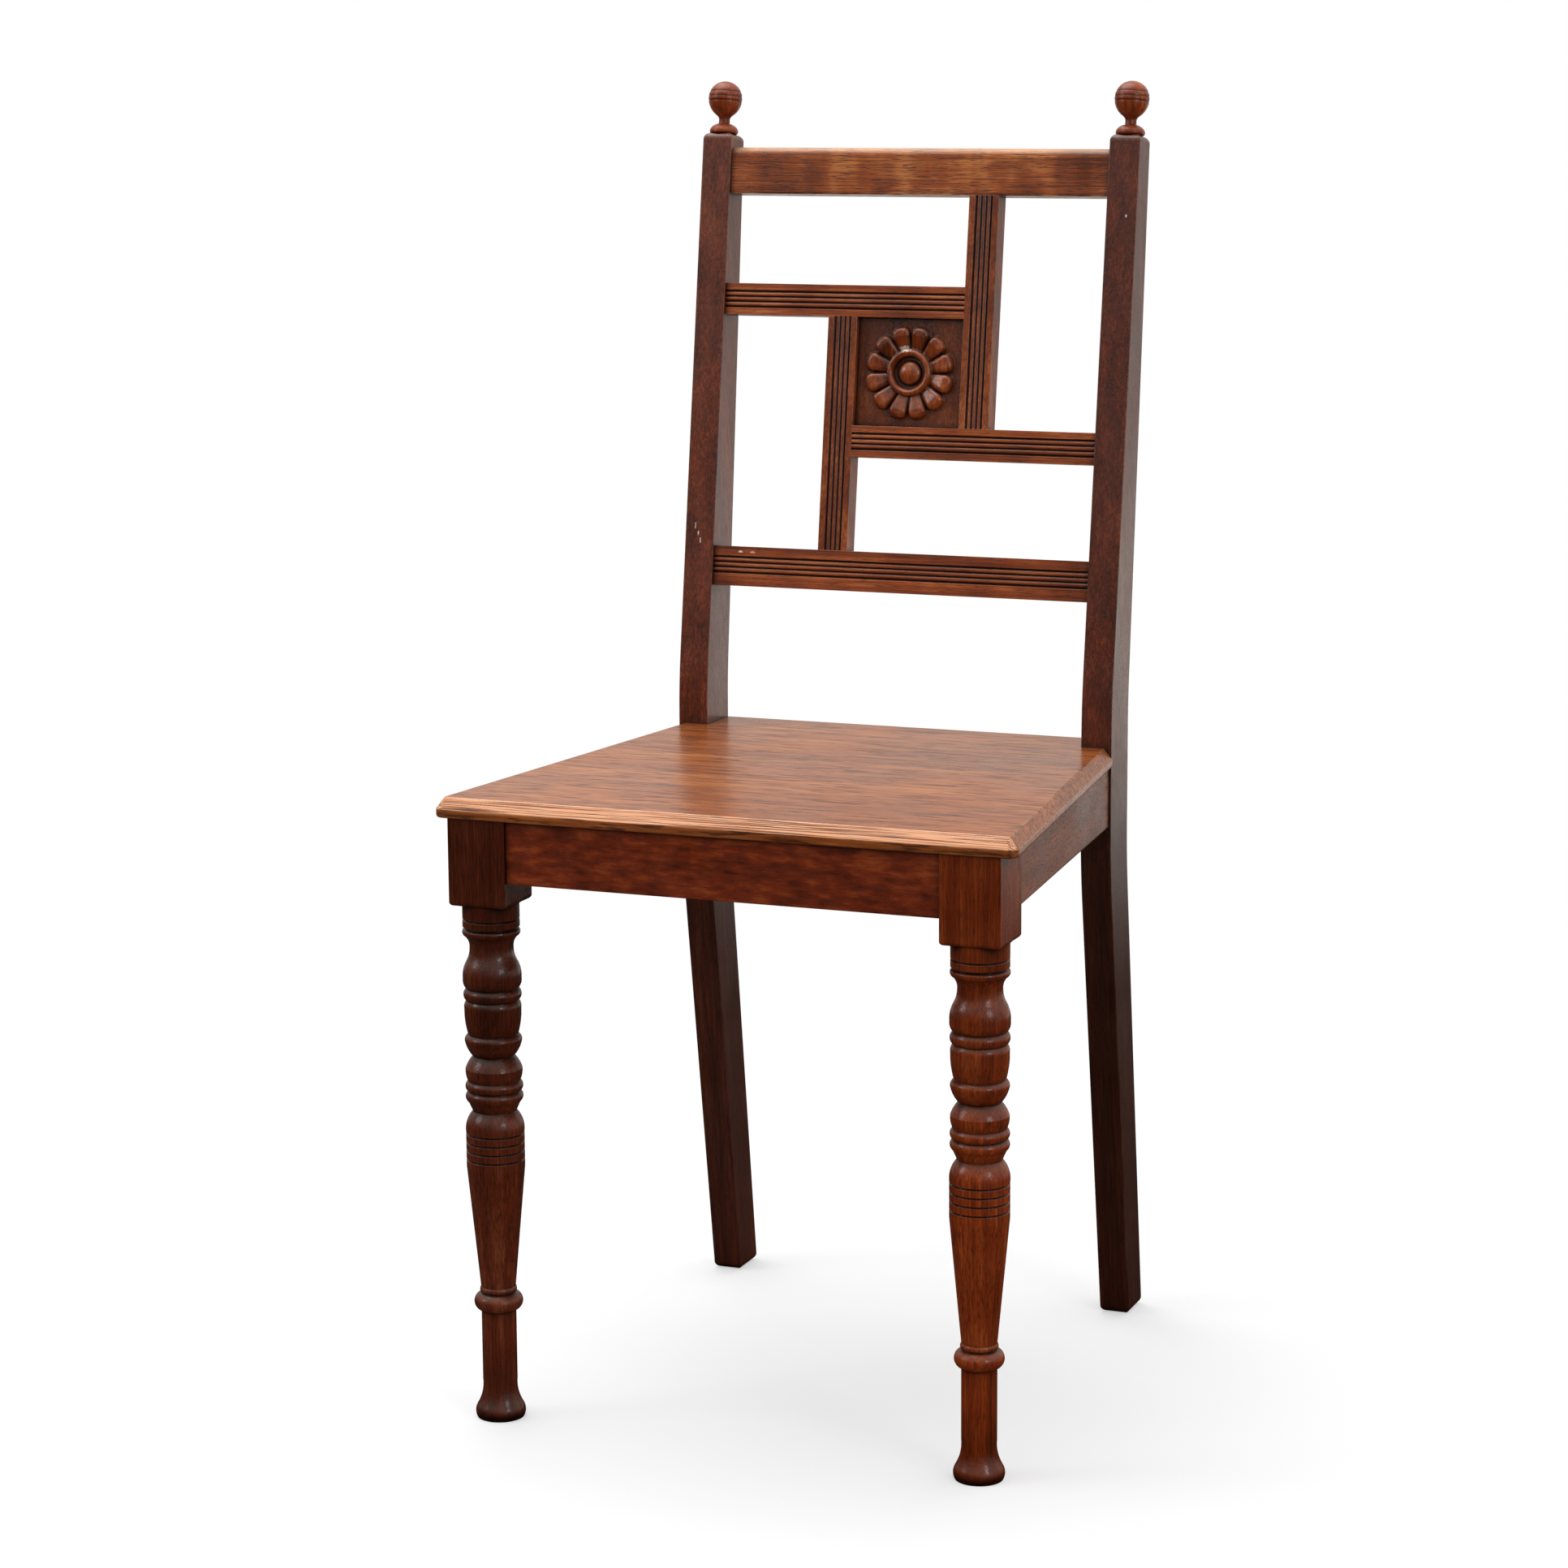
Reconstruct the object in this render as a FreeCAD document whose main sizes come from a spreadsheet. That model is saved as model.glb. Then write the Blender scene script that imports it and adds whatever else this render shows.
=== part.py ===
import FreeCAD, Part
import math
import os
from types import SimpleNamespace

import Sketcher

# Oak side chair with turned front legs and a pinwheel of reeded rails in its back.
# Millimetres, +Z up, the sitter faces -Y. The origin lies on the floor under the middle of
# the outline. The back leans: its pieces are drawn upright in a frame of their own, whose
# origin is the upper knee of the posts' front face, and the frame is tipped by the rake.

SIZES = [
    ("seat_height", 450, "floor to the top of the seat"),
    ("seat_side_lip", 11.5, "seat board past the outer faces of the leg blocks, at its front"),
    ("seat_rear_lip", 1, "seat board past the outer faces of the posts"),
    ("seat_thickness", 14, "seat board"),
    ("seat_front_lip", 1.5, "seat board past the fronts of the leg blocks"),
    ("seat_back_inset", 3, "seat board short of the backs of the posts"),
    ("seat_bevel_width", 6.2, "bevel on the front and sides, in plan"),
    ("seat_bevel_drop", 8, "the same bevel, downwards"),
    ("seat_nose_round", 1.8, "lower edge of the seat board"),
    ("seat_corner_round", 7.5, "front corners of the seat board, in plan"),
    ("leg_spacing", 360, "between the axes of the front legs"),
    ("leg_to_post", 317, "axis of the front legs to the fronts of the posts"),
    ("leg_block_width", 43, "square block at the top of a front leg"),
    ("leg_block_height", 62, "the same block, downwards from the seat board"),
    ("leg_block_round", 3, "lower edges of the block"),
    ("leg_girth", 20, "radius of the plain round of the turning"),
    ("leg_full", 20.6, "radius of the vase and of the bulb"),
    ("leg_hollow", 15.4, "radius of the necks"),
    ("leg_pinch", 14.6, "radius of the tight neck between flange and saucer"),
    ("leg_waist", 17.6, "radius where the vase swells and the cup ends"),
    ("leg_seam", 18.4, "radius of the seams beside the beads"),
    ("leg_ankle", 12.3, "radius of the ankle"),
    ("leg_line_width", 1.5, "incised line"),
    ("leg_line_depth", 1.0, "incised line"),
    ("leg_round_height", 10.5, "plain round under the block"),
    ("leg_band_height", 4.5, "plain band under the first incised line"),
    ("leg_groove_width", 2.4, "groove under the band"),
    ("leg_fillet_height", 4.5, "small bead over the cove"),
    ("leg_fillet_swell", 1.0, "the same bead, outwards"),
    ("leg_cove_height", 8.5, "cove"),
    ("leg_cove_hollow", 1, "the same cove, inwards"),
    ("leg_vase_neck_height", 9, "hollow upper part of the vase"),
    ("leg_vase_neck_hollow", 0.6, "the same part, inwards"),
    ("leg_vase_body_height", 13, "swelling part of the vase"),
    ("leg_vase_body_swell", 1, "the same part, outwards"),
    ("leg_vase_foot_height", 7, "lower part of the vase"),
    ("leg_vase_foot_swell", 0.8, "the same part, outwards"),
    ("leg_ring_height", 8.5, "bead between vase and cup"),
    ("leg_ring_swell", 2, "the same bead, outwards"),
    ("leg_cup_lip_height", 6, "upper part of the cup"),
    ("leg_cup_height", 18.5, "lower part of the cup"),
    ("leg_cup_swell", 0.7, "both parts of the cup, outwards"),
    ("leg_flange_height", 5, "flange under the cup"),
    ("leg_flange_swell", 1, "the same flange, outwards"),
    ("leg_flange_slope", 10.5, "slope from the flange in to the tight neck"),
    ("leg_flange_belly", 0.8, "the same slope, outwards"),
    ("leg_saucer_height", 9, "slope over the pair of beads"),
    ("leg_saucer_swell", 0.6, "the same slope, outwards"),
    ("leg_rim_height", 9, "rim over the pair of beads"),
    ("leg_bead_height", 7.5, "one bead of the pair"),
    ("leg_bead_swell", 1.9, "the same bead, outwards"),
    ("leg_slope_height", 6.7, "slope under the pair of beads"),
    ("leg_bulb_height", 15.5, "bulb at the top of the taper"),
    ("leg_bulb_swell", 1.8, "the same bulb, outwards"),
    ("leg_line_pitch", 6.2, "between the incised lines at the top of the taper"),
    ("leg_collar_height", 4.5, "small bead at the foot of the taper"),
    ("leg_collar_swell", 0.8, "the same bead, outwards"),
    ("leg_anklet_height", 13, "ring over the ankle"),
    ("leg_anklet_swell", 5, "the same ring, outwards"),
    ("leg_ankle_height", 51, "straight ankle"),
    ("leg_flare_height", 19, "flare of the foot"),
    ("leg_flare_hollow", 1.6, "the same flare, inwards"),
    ("leg_pad_radius", 16.6, "pad foot"),
    ("leg_pad_height", 9, "pad foot"),
    ("leg_pad_swell", 1.2, "the same pad, outwards"),
    ("post_spacing", 344, "across the outer faces of the rear posts"),
    ("post_width", 23, "rear post"),
    ("post_seat_depth", 41.5, "rear post beside the seat, front to back"),
    ("post_top_depth", 24, "rear post at its top, front to back"),
    ("post_foot_depth", 32, "rear post at the floor, front to back"),
    ("post_foot_setback", 59, "front of the post at the floor behind its front at the seat"),
    ("post_lower_knee", 362, "floor to the bend under the seat"),
    ("post_upper_knee", 480, "floor to the bend over the seat"),
    ("post_knee_radius", 350, "both bends"),
    ("post_edge_round", 5, "edges of the post's top and foot"),
    ("back_rake", 8.2, "degrees that the back leans"),
    ("lower_rail_rise", 76.5, "upper knee to the lower cross rail, along the post"),
    ("lower_rail_height", 30, "lower cross rail"),
    ("lower_window_height", 70.5, "lower cross rail to middle cross rail"),
    ("cross_rail_height", 23.5, "middle and upper cross rails"),
    ("panel_opening_height", 81, "middle cross rail to upper cross rail"),
    ("panel_opening_width", 84, "left muntin to right muntin"),
    ("upper_window_height", 67.5, "upper cross rail to crest rail"),
    ("crest_rail_height", 35, "crest rail"),
    ("crest_rail_thickness", 18, "crest rail"),
    ("crest_round", 6, "upper edges of the crest rail"),
    ("post_top_reveal", 10.5, "post past the top of the crest rail"),
    ("muntin_width", 23, "muntin"),
    ("back_recess", 3, "rails and muntins behind the fronts of the posts"),
    ("back_thickness", 16, "cross rails and muntins"),
    ("reed_pitch", 3.8, "one reed"),
    ("reed_depth", 1.7, "reed over its grooves"),
    ("reed_margin", 1.1, "slope from the flat into the outer groove"),
    ("lower_reed_offset", 1, "reeds of the lower rail over its middle line"),
    ("tenon_length", 14, "tenons of the back"),
    ("tenon_thickness", 7, "tenons of the back"),
    ("tenon_shoulder", 4.5, "shoulder beside a tenon"),
    ("joint_clearance", 0.2, "room left round every tenon, tongue, dowel and screw"),
    ("panel_recess", 6, "ground of the panel behind the fronts of its neighbours"),
    ("panel_thickness", 9, "carved panel, ground to back"),
    ("panel_tongue_length", 4, "tongue round the panel"),
    ("panel_tongue_thickness", 4.5, "tongue round the panel"),
    ("rosette_diameter", 70.4, "rosette over its petals"),
    ("rosette_relief", 5, "rosette over the ground"),
    ("petal_count", 12, "petals"),
    ("petal_gap", 0.8, "between two petals"),
    ("petal_relief", 4.2, "petals over the ground"),
    ("petal_end_swell", 3, "rounded end of a petal"),
    ("ring_diameter", 35.8, "ring of the rosette, outside"),
    ("ring_width", 5.8, "ring of the rosette"),
    ("ring_swell", 2.6, "rounded top of the ring"),
    ("button_diameter", 18.8, "button of the rosette"),
    ("button_swell", 2, "rounded side of the button"),
    ("dish_relief", 0.3, "dish between ring and button over the ground"),
    ("finial_collar_diameter", 20.4, "collar of the finial at its foot"),
    ("finial_collar_height", 7.7, "collar, up to the neck"),
    ("finial_collar_swell", 2.3, "the same collar, outwards"),
    ("finial_neck_diameter", 8.2, "neck of the finial"),
    ("finial_neck_height", 2.6, "neck of the finial"),
    ("finial_flare_diameter", 12.6, "top of the flare under the ball"),
    ("finial_flare_height", 3.7, "flare from the neck to the ball"),
    ("finial_flare_hollow", 0.5, "the same flare, inwards"),
    ("finial_ball_diameter", 25.5, "ball of the finial"),
    ("finial_ball_drop", 12.8, "flare to the middle of the ball"),
    ("finial_ball_belly", 1.8, "lower half of the ball, outwards"),
    ("finial_spigot_diameter", 9, "spigot in the post"),
    ("finial_spigot_length", 16, "spigot in the post"),
    ("seat_rail_height", 44, "rails under the seat board"),
    ("seat_rail_thickness", 20, "rails under the seat board"),
    ("front_rail_recess", 2.5, "front rail behind the fronts of the leg blocks"),
    ("side_rail_leg_recess", 5, "side rail inside the outer face of the leg block"),
    ("side_rail_post_recess", 1.5, "side rail inside the outer face of the post"),
    ("back_rail_inset", 3.5, "back rail in front of the backs of the posts"),
    ("dowel_diameter", 8, "dowels of the seat rails"),
    ("dowel_length", 40, "dowels of the seat rails"),
    ("dowel_pitch", 20, "between the two dowels of a joint"),
    ("corner_block_reach", 42, "corner block along each rail"),
    ("corner_block_height", 30, "corner block"),
    ("screw_diameter", 4, "wood screws"),
    ("screw_head_diameter", 8, "wood screws"),
    ("screw_head_height", 2.5, "wood screws"),
    ("seat_screw_length", 38, "screws of the seat board"),
    ("rail_screw_length", 30, "screws of the corner blocks"),
]

doc = FreeCAD.newDocument("side_chair")
sheet = doc.addObject("Spreadsheet::Sheet", "sizes")
for row, (alias, value, note) in enumerate(SIZES, start=1):
    sheet.set(f"A{row}", alias)
    sheet.set(f"B{row}", str(value))
    sheet.set(f"C{row}", note)
    sheet.setAlias(f"B{row}", alias)
doc.recompute()


class Size:
    """A size held as its number and as the sheet formula that gives the same number."""

    def __init__(self, number, formula):
        self.number = number
        self.formula = formula

    def __add__(self, other):
        other = as_size(other)
        return Size(self.number + other.number, f"({self.formula} + {other.formula})")

    def __sub__(self, other):
        other = as_size(other)
        return Size(self.number - other.number, f"({self.formula} - {other.formula})")

    def __mul__(self, other):
        other = as_size(other)
        return Size(self.number * other.number, f"({self.formula} * {other.formula})")

    def __truediv__(self, other):
        other = as_size(other)
        return Size(self.number / other.number, f"({self.formula} / {other.formula})")

    def __neg__(self):
        return self * -1


def as_size(value):
    """Give a plain number the form of a size."""
    if isinstance(value, Size):
        return value
    return Size(value, f"({value})")


def sine(angle):
    return Size(math.sin(math.radians(angle.number)), f"sin({angle.formula} * 1 deg)")


def cosine(angle):
    return Size(math.cos(math.radians(angle.number)), f"cos({angle.formula} * 1 deg)")


s = SimpleNamespace(**{alias: Size(value, f"sizes.{alias}") for alias, value, note in SIZES})
zero = as_size(0)
nodes = {}


# Sketches, pads and cuts shared by the pieces.

def bind(item, path, size):
    item.setExpression(path, as_size(size).formula)


def upright(item):
    """Leave a piece in the chair's own frame."""


def tipped(item):
    """Put a piece drawn upright into the leaning back."""
    turn = FreeCAD.Rotation(FreeCAD.Vector(-1, 0, 0), s.back_rake.number)
    item.Placement = FreeCAD.Placement(FreeCAD.Vector(0, 0, 0), turn)
    bind(item, "Placement.Base.y", post_front)
    bind(item, "Placement.Base.z", s.post_upper_knee)
    item.setExpression("Placement.Rotation.Angle", f"{s.back_rake.formula} * 1 deg")


def new_body(name, frame=upright):
    body = doc.addObject("PartDesign::Body", name)
    frame(body)
    return body


def sketch_on(body, role, offset=zero):
    """Open a sketch on one of the body's planes, moved along that plane's normal."""
    sketch = body.newObject("Sketcher::SketchObject", f"{body.Name}_sketch")
    plane = [item for item in body.Origin.OriginFeatures if item.Role == role][0]
    sketch.AttachmentSupport = [(plane, "")]
    sketch.MapMode = "FlatFace"
    bind(sketch, "AttachmentOffset.Base.z", offset)
    return sketch


def outline(sketch, points):
    """Close a line through the points; a third entry is the rise, to the right, of an arc to the next."""
    spots = [FreeCAD.Vector(as_size(p[0]).number, as_size(p[1]).number, 0) for p in points]
    count = len(points)
    shapes = []
    for i, point in enumerate(points):
        here = spots[i]
        there = spots[(i + 1) % count]
        if len(point) == 2:
            shapes.append(Part.LineSegment(here, there))
        else:
            chord = there - here
            right = FreeCAD.Vector(chord.y, -chord.x, 0).normalize()
            middle = (here + there) * 0.5 + right * as_size(point[2]).number
            ends = (here, there) if as_size(point[2]).number > 0 else (there, here)
            shapes.append(Part.Arc(ends[0], middle, ends[1]))
    sketch.addGeometry(shapes, False)
    starts = []
    for edge, spot in zip(sketch.Geometry, spots):
        starts.append(1 if edge.StartPoint.distanceToPoint(spot) < 1e-6 else 2)
    rules = []
    formulas = []
    for i, point in enumerate(points):
        following = (i + 1) % count
        rules.append(Sketcher.Constraint("Coincident", i, 3 - starts[i], following, starts[following]))
        formulas.append(None)
        rules.append(Sketcher.Constraint("DistanceX", -1, 1, i, starts[i], spots[i].x))
        formulas.append(as_size(point[0]).formula)
        rules.append(Sketcher.Constraint("DistanceY", -1, 1, i, starts[i], spots[i].y))
        formulas.append(as_size(point[1]).formula)
        if len(point) == 3:
            across = as_size(points[following][0]) - point[0]
            along = as_size(points[following][1]) - point[1]
            rise = as_size(point[2])
            radius = ((across * across + along * along) / 4 + rise * rise) / (rise * 2)
            sign = 1 if rise.number > 0 else -1
            rules.append(Sketcher.Constraint("Radius", i, radius.number * sign))
            formulas.append((radius * sign).formula)
    first = len(sketch.Constraints)
    sketch.addConstraint(rules)
    for i, formula in enumerate(formulas):
        if formula:
            sketch.setExpression(f"Constraints[{first + i}]", formula)


# Rise of a quarter circle over its chord, as a share of its radius.
QUARTER_RISE = 1 - math.sqrt(0.5)


def pad(body, sketch, length):
    feature = body.newObject("PartDesign::Pad", f"{body.Name}_pad")
    feature.Profile = sketch
    bind(feature, "Length", length)
    return feature


def rectangle(first, last):
    return [(first[0], first[1]), (last[0], first[1]), (last[0], last[1]), (first[0], last[1])]


def add_box(body, x, y, z):
    """Add a block between two sizes on each axis."""
    sketch = sketch_on(body, "XY_Plane", z[0])
    outline(sketch, rectangle((x[0], y[0]), (x[1], y[1])))
    return pad(body, sketch, z[1] - z[0])


def box(name, x, y, z, frame=upright):
    body = new_body(name, frame)
    add_box(body, x, y, z)
    return body


def turned(body, sketch):
    """Spin a sketch round its vertical axis."""
    feature = body.newObject("PartDesign::Revolution", f"{body.Name}_turning")
    feature.Profile = sketch
    feature.ReferenceAxis = (sketch, ["V_Axis"])
    feature.Angle = 360
    return feature


def rounded(body, feature, radius, chosen):
    """Round the edges of the body's last feature that the test picks by end points."""
    doc.recompute()
    names = []
    for i, edge in enumerate(feature.Shape.Edges, start=1):
        if chosen(edge.Vertexes[0].Point, edge.Vertexes[-1].Point):
            names.append(f"Edge{i}")
    fillet = body.newObject("PartDesign::Fillet", f"{body.Name}_round")
    fillet.Base = (feature, names)
    bind(fillet, "Radius", radius)
    return fillet


ALONG = {
    "x": FreeCAD.Rotation(FreeCAD.Vector(0, 1, 0), 90),
    "y": FreeCAD.Rotation(FreeCAD.Vector(-1, 0, 0), 90),
    "z": FreeCAD.Rotation(),
}


def rod(name, radius, length, middle, axis):
    """A round rod by the middle of its length."""
    item = doc.addObject("Part::Cylinder", name)
    item.Placement = FreeCAD.Placement(FreeCAD.Vector(0, 0, 0), ALONG[axis])
    bind(item, "Radius", radius)
    bind(item, "Height", length)
    for direction, size in zip("xyz", middle):
        start = size - length / 2 if direction == axis else size
        bind(item, f"Placement.Base.{direction}", start)
    return item


def finish(label, blank, tools=()):
    """Cut the joints out of a blank and keep the result as a node."""
    item = blank
    if tools:
        tool = tools[0]
        if len(tools) > 1:
            tool = doc.addObject("Part::MultiFuse", f"{label}_joints")
            tool.Shapes = list(tools)
        item = doc.addObject("Part::Cut", f"{label}_cut")
        item.Base = blank
        item.Tool = tool
    item.Label = label
    nodes[label] = item
    return item


def group(label, solids):
    item = doc.addObject("Part::Compound", f"{label}_group")
    item.Links = list(solids)
    item.Label = label
    nodes[label] = item
    return item


# Where things stand, all from the sheet.

SIDES = (("left", -1), ("right", 1))
clear = s.joint_clearance
half_block = s.leg_block_width / 2
depth = s.seat_front_lip + half_block + s.leg_to_post + s.post_foot_setback + s.post_foot_depth
seat_front = -depth / 2
leg_y = seat_front + s.seat_front_lip + half_block
leg_x = s.leg_spacing / 2
post_front = leg_y + s.leg_to_post
post_back = post_front + s.post_seat_depth
post_out = s.post_spacing / 2
post_in = post_out - s.post_width
board_under = s.seat_height - s.seat_thickness
block_under = board_under - s.leg_block_height
rail_under = board_under - s.seat_rail_height
rail_middle = board_under - s.seat_rail_height / 2

lower_rail = (s.lower_rail_rise, s.lower_rail_rise + s.lower_rail_height)
middle_rail_under = lower_rail[1] + s.lower_window_height
middle_rail = (middle_rail_under, middle_rail_under + s.cross_rail_height)
upper_rail_under = middle_rail[1] + s.panel_opening_height
upper_rail = (upper_rail_under, upper_rail_under + s.cross_rail_height)
crest_under = upper_rail[1] + s.upper_window_height
crest = (crest_under, crest_under + s.crest_rail_height)
post_top = crest[1] + s.post_top_reveal
muntin_in = s.panel_opening_width / 2
muntin_out = muntin_in + s.muntin_width
panel_middle = middle_rail[1] + s.panel_opening_height / 2
back_middle = s.back_recess + s.back_thickness / 2


# Tenons and mortises of the back. A tenon runs the whole length of its member as a core, so
# member and tenons are one piece of wood; the mortise is the same block with room round it.

tenon_depth = (back_middle - s.tenon_thickness / 2, back_middle + s.tenon_thickness / 2)
mortise_depth = (tenon_depth[0] - clear, tenon_depth[1] + clear)


def shouldered(span, room=zero):
    return (span[0] + s.tenon_shoulder - room, span[1] - s.tenon_shoulder + room)


def lengthened(span, room=zero):
    return (span[0] - s.tenon_length - room, span[1] + s.tenon_length + room)


# Reeded rails and muntins: a flat face with three rounded reeds between four grooves.

REEDS = 3


def reeded_face(front, span, centre):
    """Corners of a section from the lower front edge up the face and round the back."""
    floor = front + s.reed_depth
    first = centre - s.reed_pitch * (REEDS / 2)
    last = centre + s.reed_pitch * (REEDS / 2)
    points = [(front, span[0]), (front, first - s.reed_margin)]
    for i in range(REEDS):
        points.append((floor, first + s.reed_pitch * i, -s.reed_depth))
    points.append((floor, last))
    points.append((front, last + s.reed_margin))
    points.append((front, span[1]))
    points.append((front + s.back_thickness, span[1]))
    points.append((front + s.back_thickness, span[0]))
    return points


def reeded_rail(name, x, z, reed_centre):
    """A level member between two posts or muntins, with a tenon at each end."""
    body = new_body(name, tipped)
    sketch = sketch_on(body, "YZ_Plane", x[0])
    outline(sketch, reeded_face(s.back_recess, z, reed_centre))
    pad(body, sketch, x[1] - x[0])
    add_box(body, lengthened(x), tenon_depth, shouldered(z))
    return body


def reeded_muntin(name, x, z):
    """A standing member between two rails, with a tenon at each end."""
    body = new_body(name, tipped)
    sketch = sketch_on(body, "XY_Plane", z[0])
    face = reeded_face(s.back_recess, x, (x[0] + x[1]) / 2)
    outline(sketch, [(p[1], p[0], -p[2]) if len(p) == 3 else (p[1], p[0]) for p in face])
    pad(body, sketch, z[1] - z[0])
    add_box(body, shouldered(x), tenon_depth, lengthened(z))
    return body


def rail_mortise(name, x, z):
    return box(name, lengthened(x, clear), mortise_depth, shouldered(z, clear), tipped)


def muntin_mortise(name, x, z):
    return box(name, shouldered(x, clear), mortise_depth, lengthened(z, clear), tipped)


across = (-post_in, post_in)
upper_span = (-post_in, muntin_in)
middle_span = (-muntin_in, post_in)
left_muntin_x = (-muntin_out, -muntin_in)
left_muntin_z = (lower_rail[1], upper_rail[0])
right_muntin_x = (muntin_in, muntin_out)
right_muntin_z = (middle_rail[1], crest[0])

crest_mortise = rail_mortise("crest_mortise", across, crest)
upper_mortise = rail_mortise("upper_mortise", upper_span, upper_rail)
middle_mortise = rail_mortise("middle_mortise", middle_span, middle_rail)
lower_mortise = rail_mortise("lower_mortise", across, lower_rail)
left_muntin_mortise = muntin_mortise("left_muntin_mortise", left_muntin_x, left_muntin_z)
right_muntin_mortise = muntin_mortise("right_muntin_mortise", right_muntin_x, right_muntin_z)

ground = s.back_recess + s.panel_recess
tongue_start = ground + (s.panel_thickness - s.panel_tongue_thickness) / 2
tongue_depth = (tongue_start, tongue_start + s.panel_tongue_thickness)


def panel_box(reach):
    """Spans of the panel, past its opening by a reach on every side."""
    x = (-muntin_in - reach, muntin_in + reach)
    z = (middle_rail[1] - reach, upper_rail[0] + reach)
    return x, z


slot_x, slot_z = panel_box(s.panel_tongue_length + clear)
panel_slot = box("panel_slot", slot_x, (tongue_depth[0] - clear, tongue_depth[1] + clear), slot_z, tipped)

upper = reeded_rail("upper_blank", upper_span, upper_rail, (upper_rail[0] + upper_rail[1]) / 2)
finish("upper_cross_rail", upper, [left_muntin_mortise, panel_slot])
middle = reeded_rail("middle_blank", middle_span, middle_rail, (middle_rail[0] + middle_rail[1]) / 2)
finish("middle_cross_rail", middle, [right_muntin_mortise, panel_slot])
lower_reeds = (lower_rail[0] + lower_rail[1]) / 2 + s.lower_reed_offset
lower = reeded_rail("lower_blank", across, lower_rail, lower_reeds)
finish("lower_cross_rail", lower, [left_muntin_mortise])
left_muntin = reeded_muntin("left_muntin_blank", left_muntin_x, left_muntin_z)
finish("left_muntin", left_muntin, [middle_mortise, panel_slot])
right_muntin = reeded_muntin("right_muntin_blank", right_muntin_x, right_muntin_z)
finish("right_muntin", right_muntin, [upper_mortise, panel_slot])


# Crest rail: plain, its upper edges rounded front and back.

crest_blank = new_body("crest_blank", tipped)
crest_sketch = sketch_on(crest_blank, "YZ_Plane", -post_in)
crest_front = s.back_recess
crest_back = crest_front + s.crest_rail_thickness
arc_rise = s.crest_round * QUARTER_RISE
outline(crest_sketch, [
    (crest_front, crest[0]),
    (crest_back, crest[0]),
    (crest_back, crest[1] - s.crest_round, arc_rise),
    (crest_back - s.crest_round, crest[1]),
    (crest_front + s.crest_round, crest[1], arc_rise),
    (crest_front, crest[1] - s.crest_round),
])
pad(crest_blank, crest_sketch, post_in * 2)
add_box(crest_blank, lengthened(across), tenon_depth, shouldered(crest))
finish("crest_rail", crest_blank, [right_muntin_mortise])


# Carved panel: a board with a tongue all round, and a rosette of petals, ring and button.

panel = new_body("panel_blank", tipped)
field_x, field_z = panel_box(-clear)
add_box(panel, field_x, (ground, ground + s.panel_thickness), field_z)
tongue_x, tongue_z = panel_box(s.panel_tongue_length)
add_box(panel, tongue_x, tongue_depth, tongue_z)

petal_start = s.ring_diameter / 2 - s.ring_width / 2
petal_end = s.rosette_diameter / 2 - s.petal_end_swell
half_turn = as_size(180) / s.petal_count
spread = sine(half_turn) / cosine(half_turn)
inner_half = petal_start * spread - s.petal_gap / 2
outer_half = petal_end * spread - s.petal_gap / 2
petal_sketch = sketch_on(panel, "XZ_Plane", -ground)
bind(petal_sketch, "AttachmentOffset.Base.y", panel_middle)
lean_s = sine(half_turn)
lean_c = cosine(half_turn)


def petal_point(out, aside):
    """A point of the first petal, which stands half a pitch past the upright."""
    return (out * lean_s + aside * lean_c, out * lean_c - aside * lean_s)


outline(petal_sketch, [
    petal_point(petal_start, -inner_half),
    petal_point(petal_start, inner_half),
    petal_point(petal_end, outer_half) + (s.petal_end_swell,),
    petal_point(petal_end, -outer_half),
])
petal = pad(panel, petal_sketch, s.petal_relief)
doc.recompute()
petals = panel.newObject("PartDesign::PolarPattern", "panel_petals")
petals.Originals = [petal]
petals.Axis = (petal_sketch, ["N_Axis"])
petals.Angle = 360
bind(petals, "Occurrences", s.petal_count)
panel.Tip = petals

ring_out = s.ring_diameter / 2
ring_in = ring_out - s.ring_width
button = s.button_diameter / 2
dish = ground - s.dish_relief
rosette_top = ground - s.rosette_relief
ring_base = rosette_top + s.ring_swell
rosette = sketch_on(panel, "XY_Plane", panel_middle)
sunk = ground + s.panel_thickness / 4
outline(rosette, [
    (zero, rosette_top, s.button_swell),
    (button, dish),
    (ring_in, dish),
    (ring_in, ring_base, s.ring_swell),
    (ring_out, ring_base),
    (ring_out, sunk),
    (zero, sunk),
])
turned(panel, rosette)
finish("carved_panel", panel)


# Rear posts: back leg and stile in one, straight at the seat, bent back above and below it.

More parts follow.
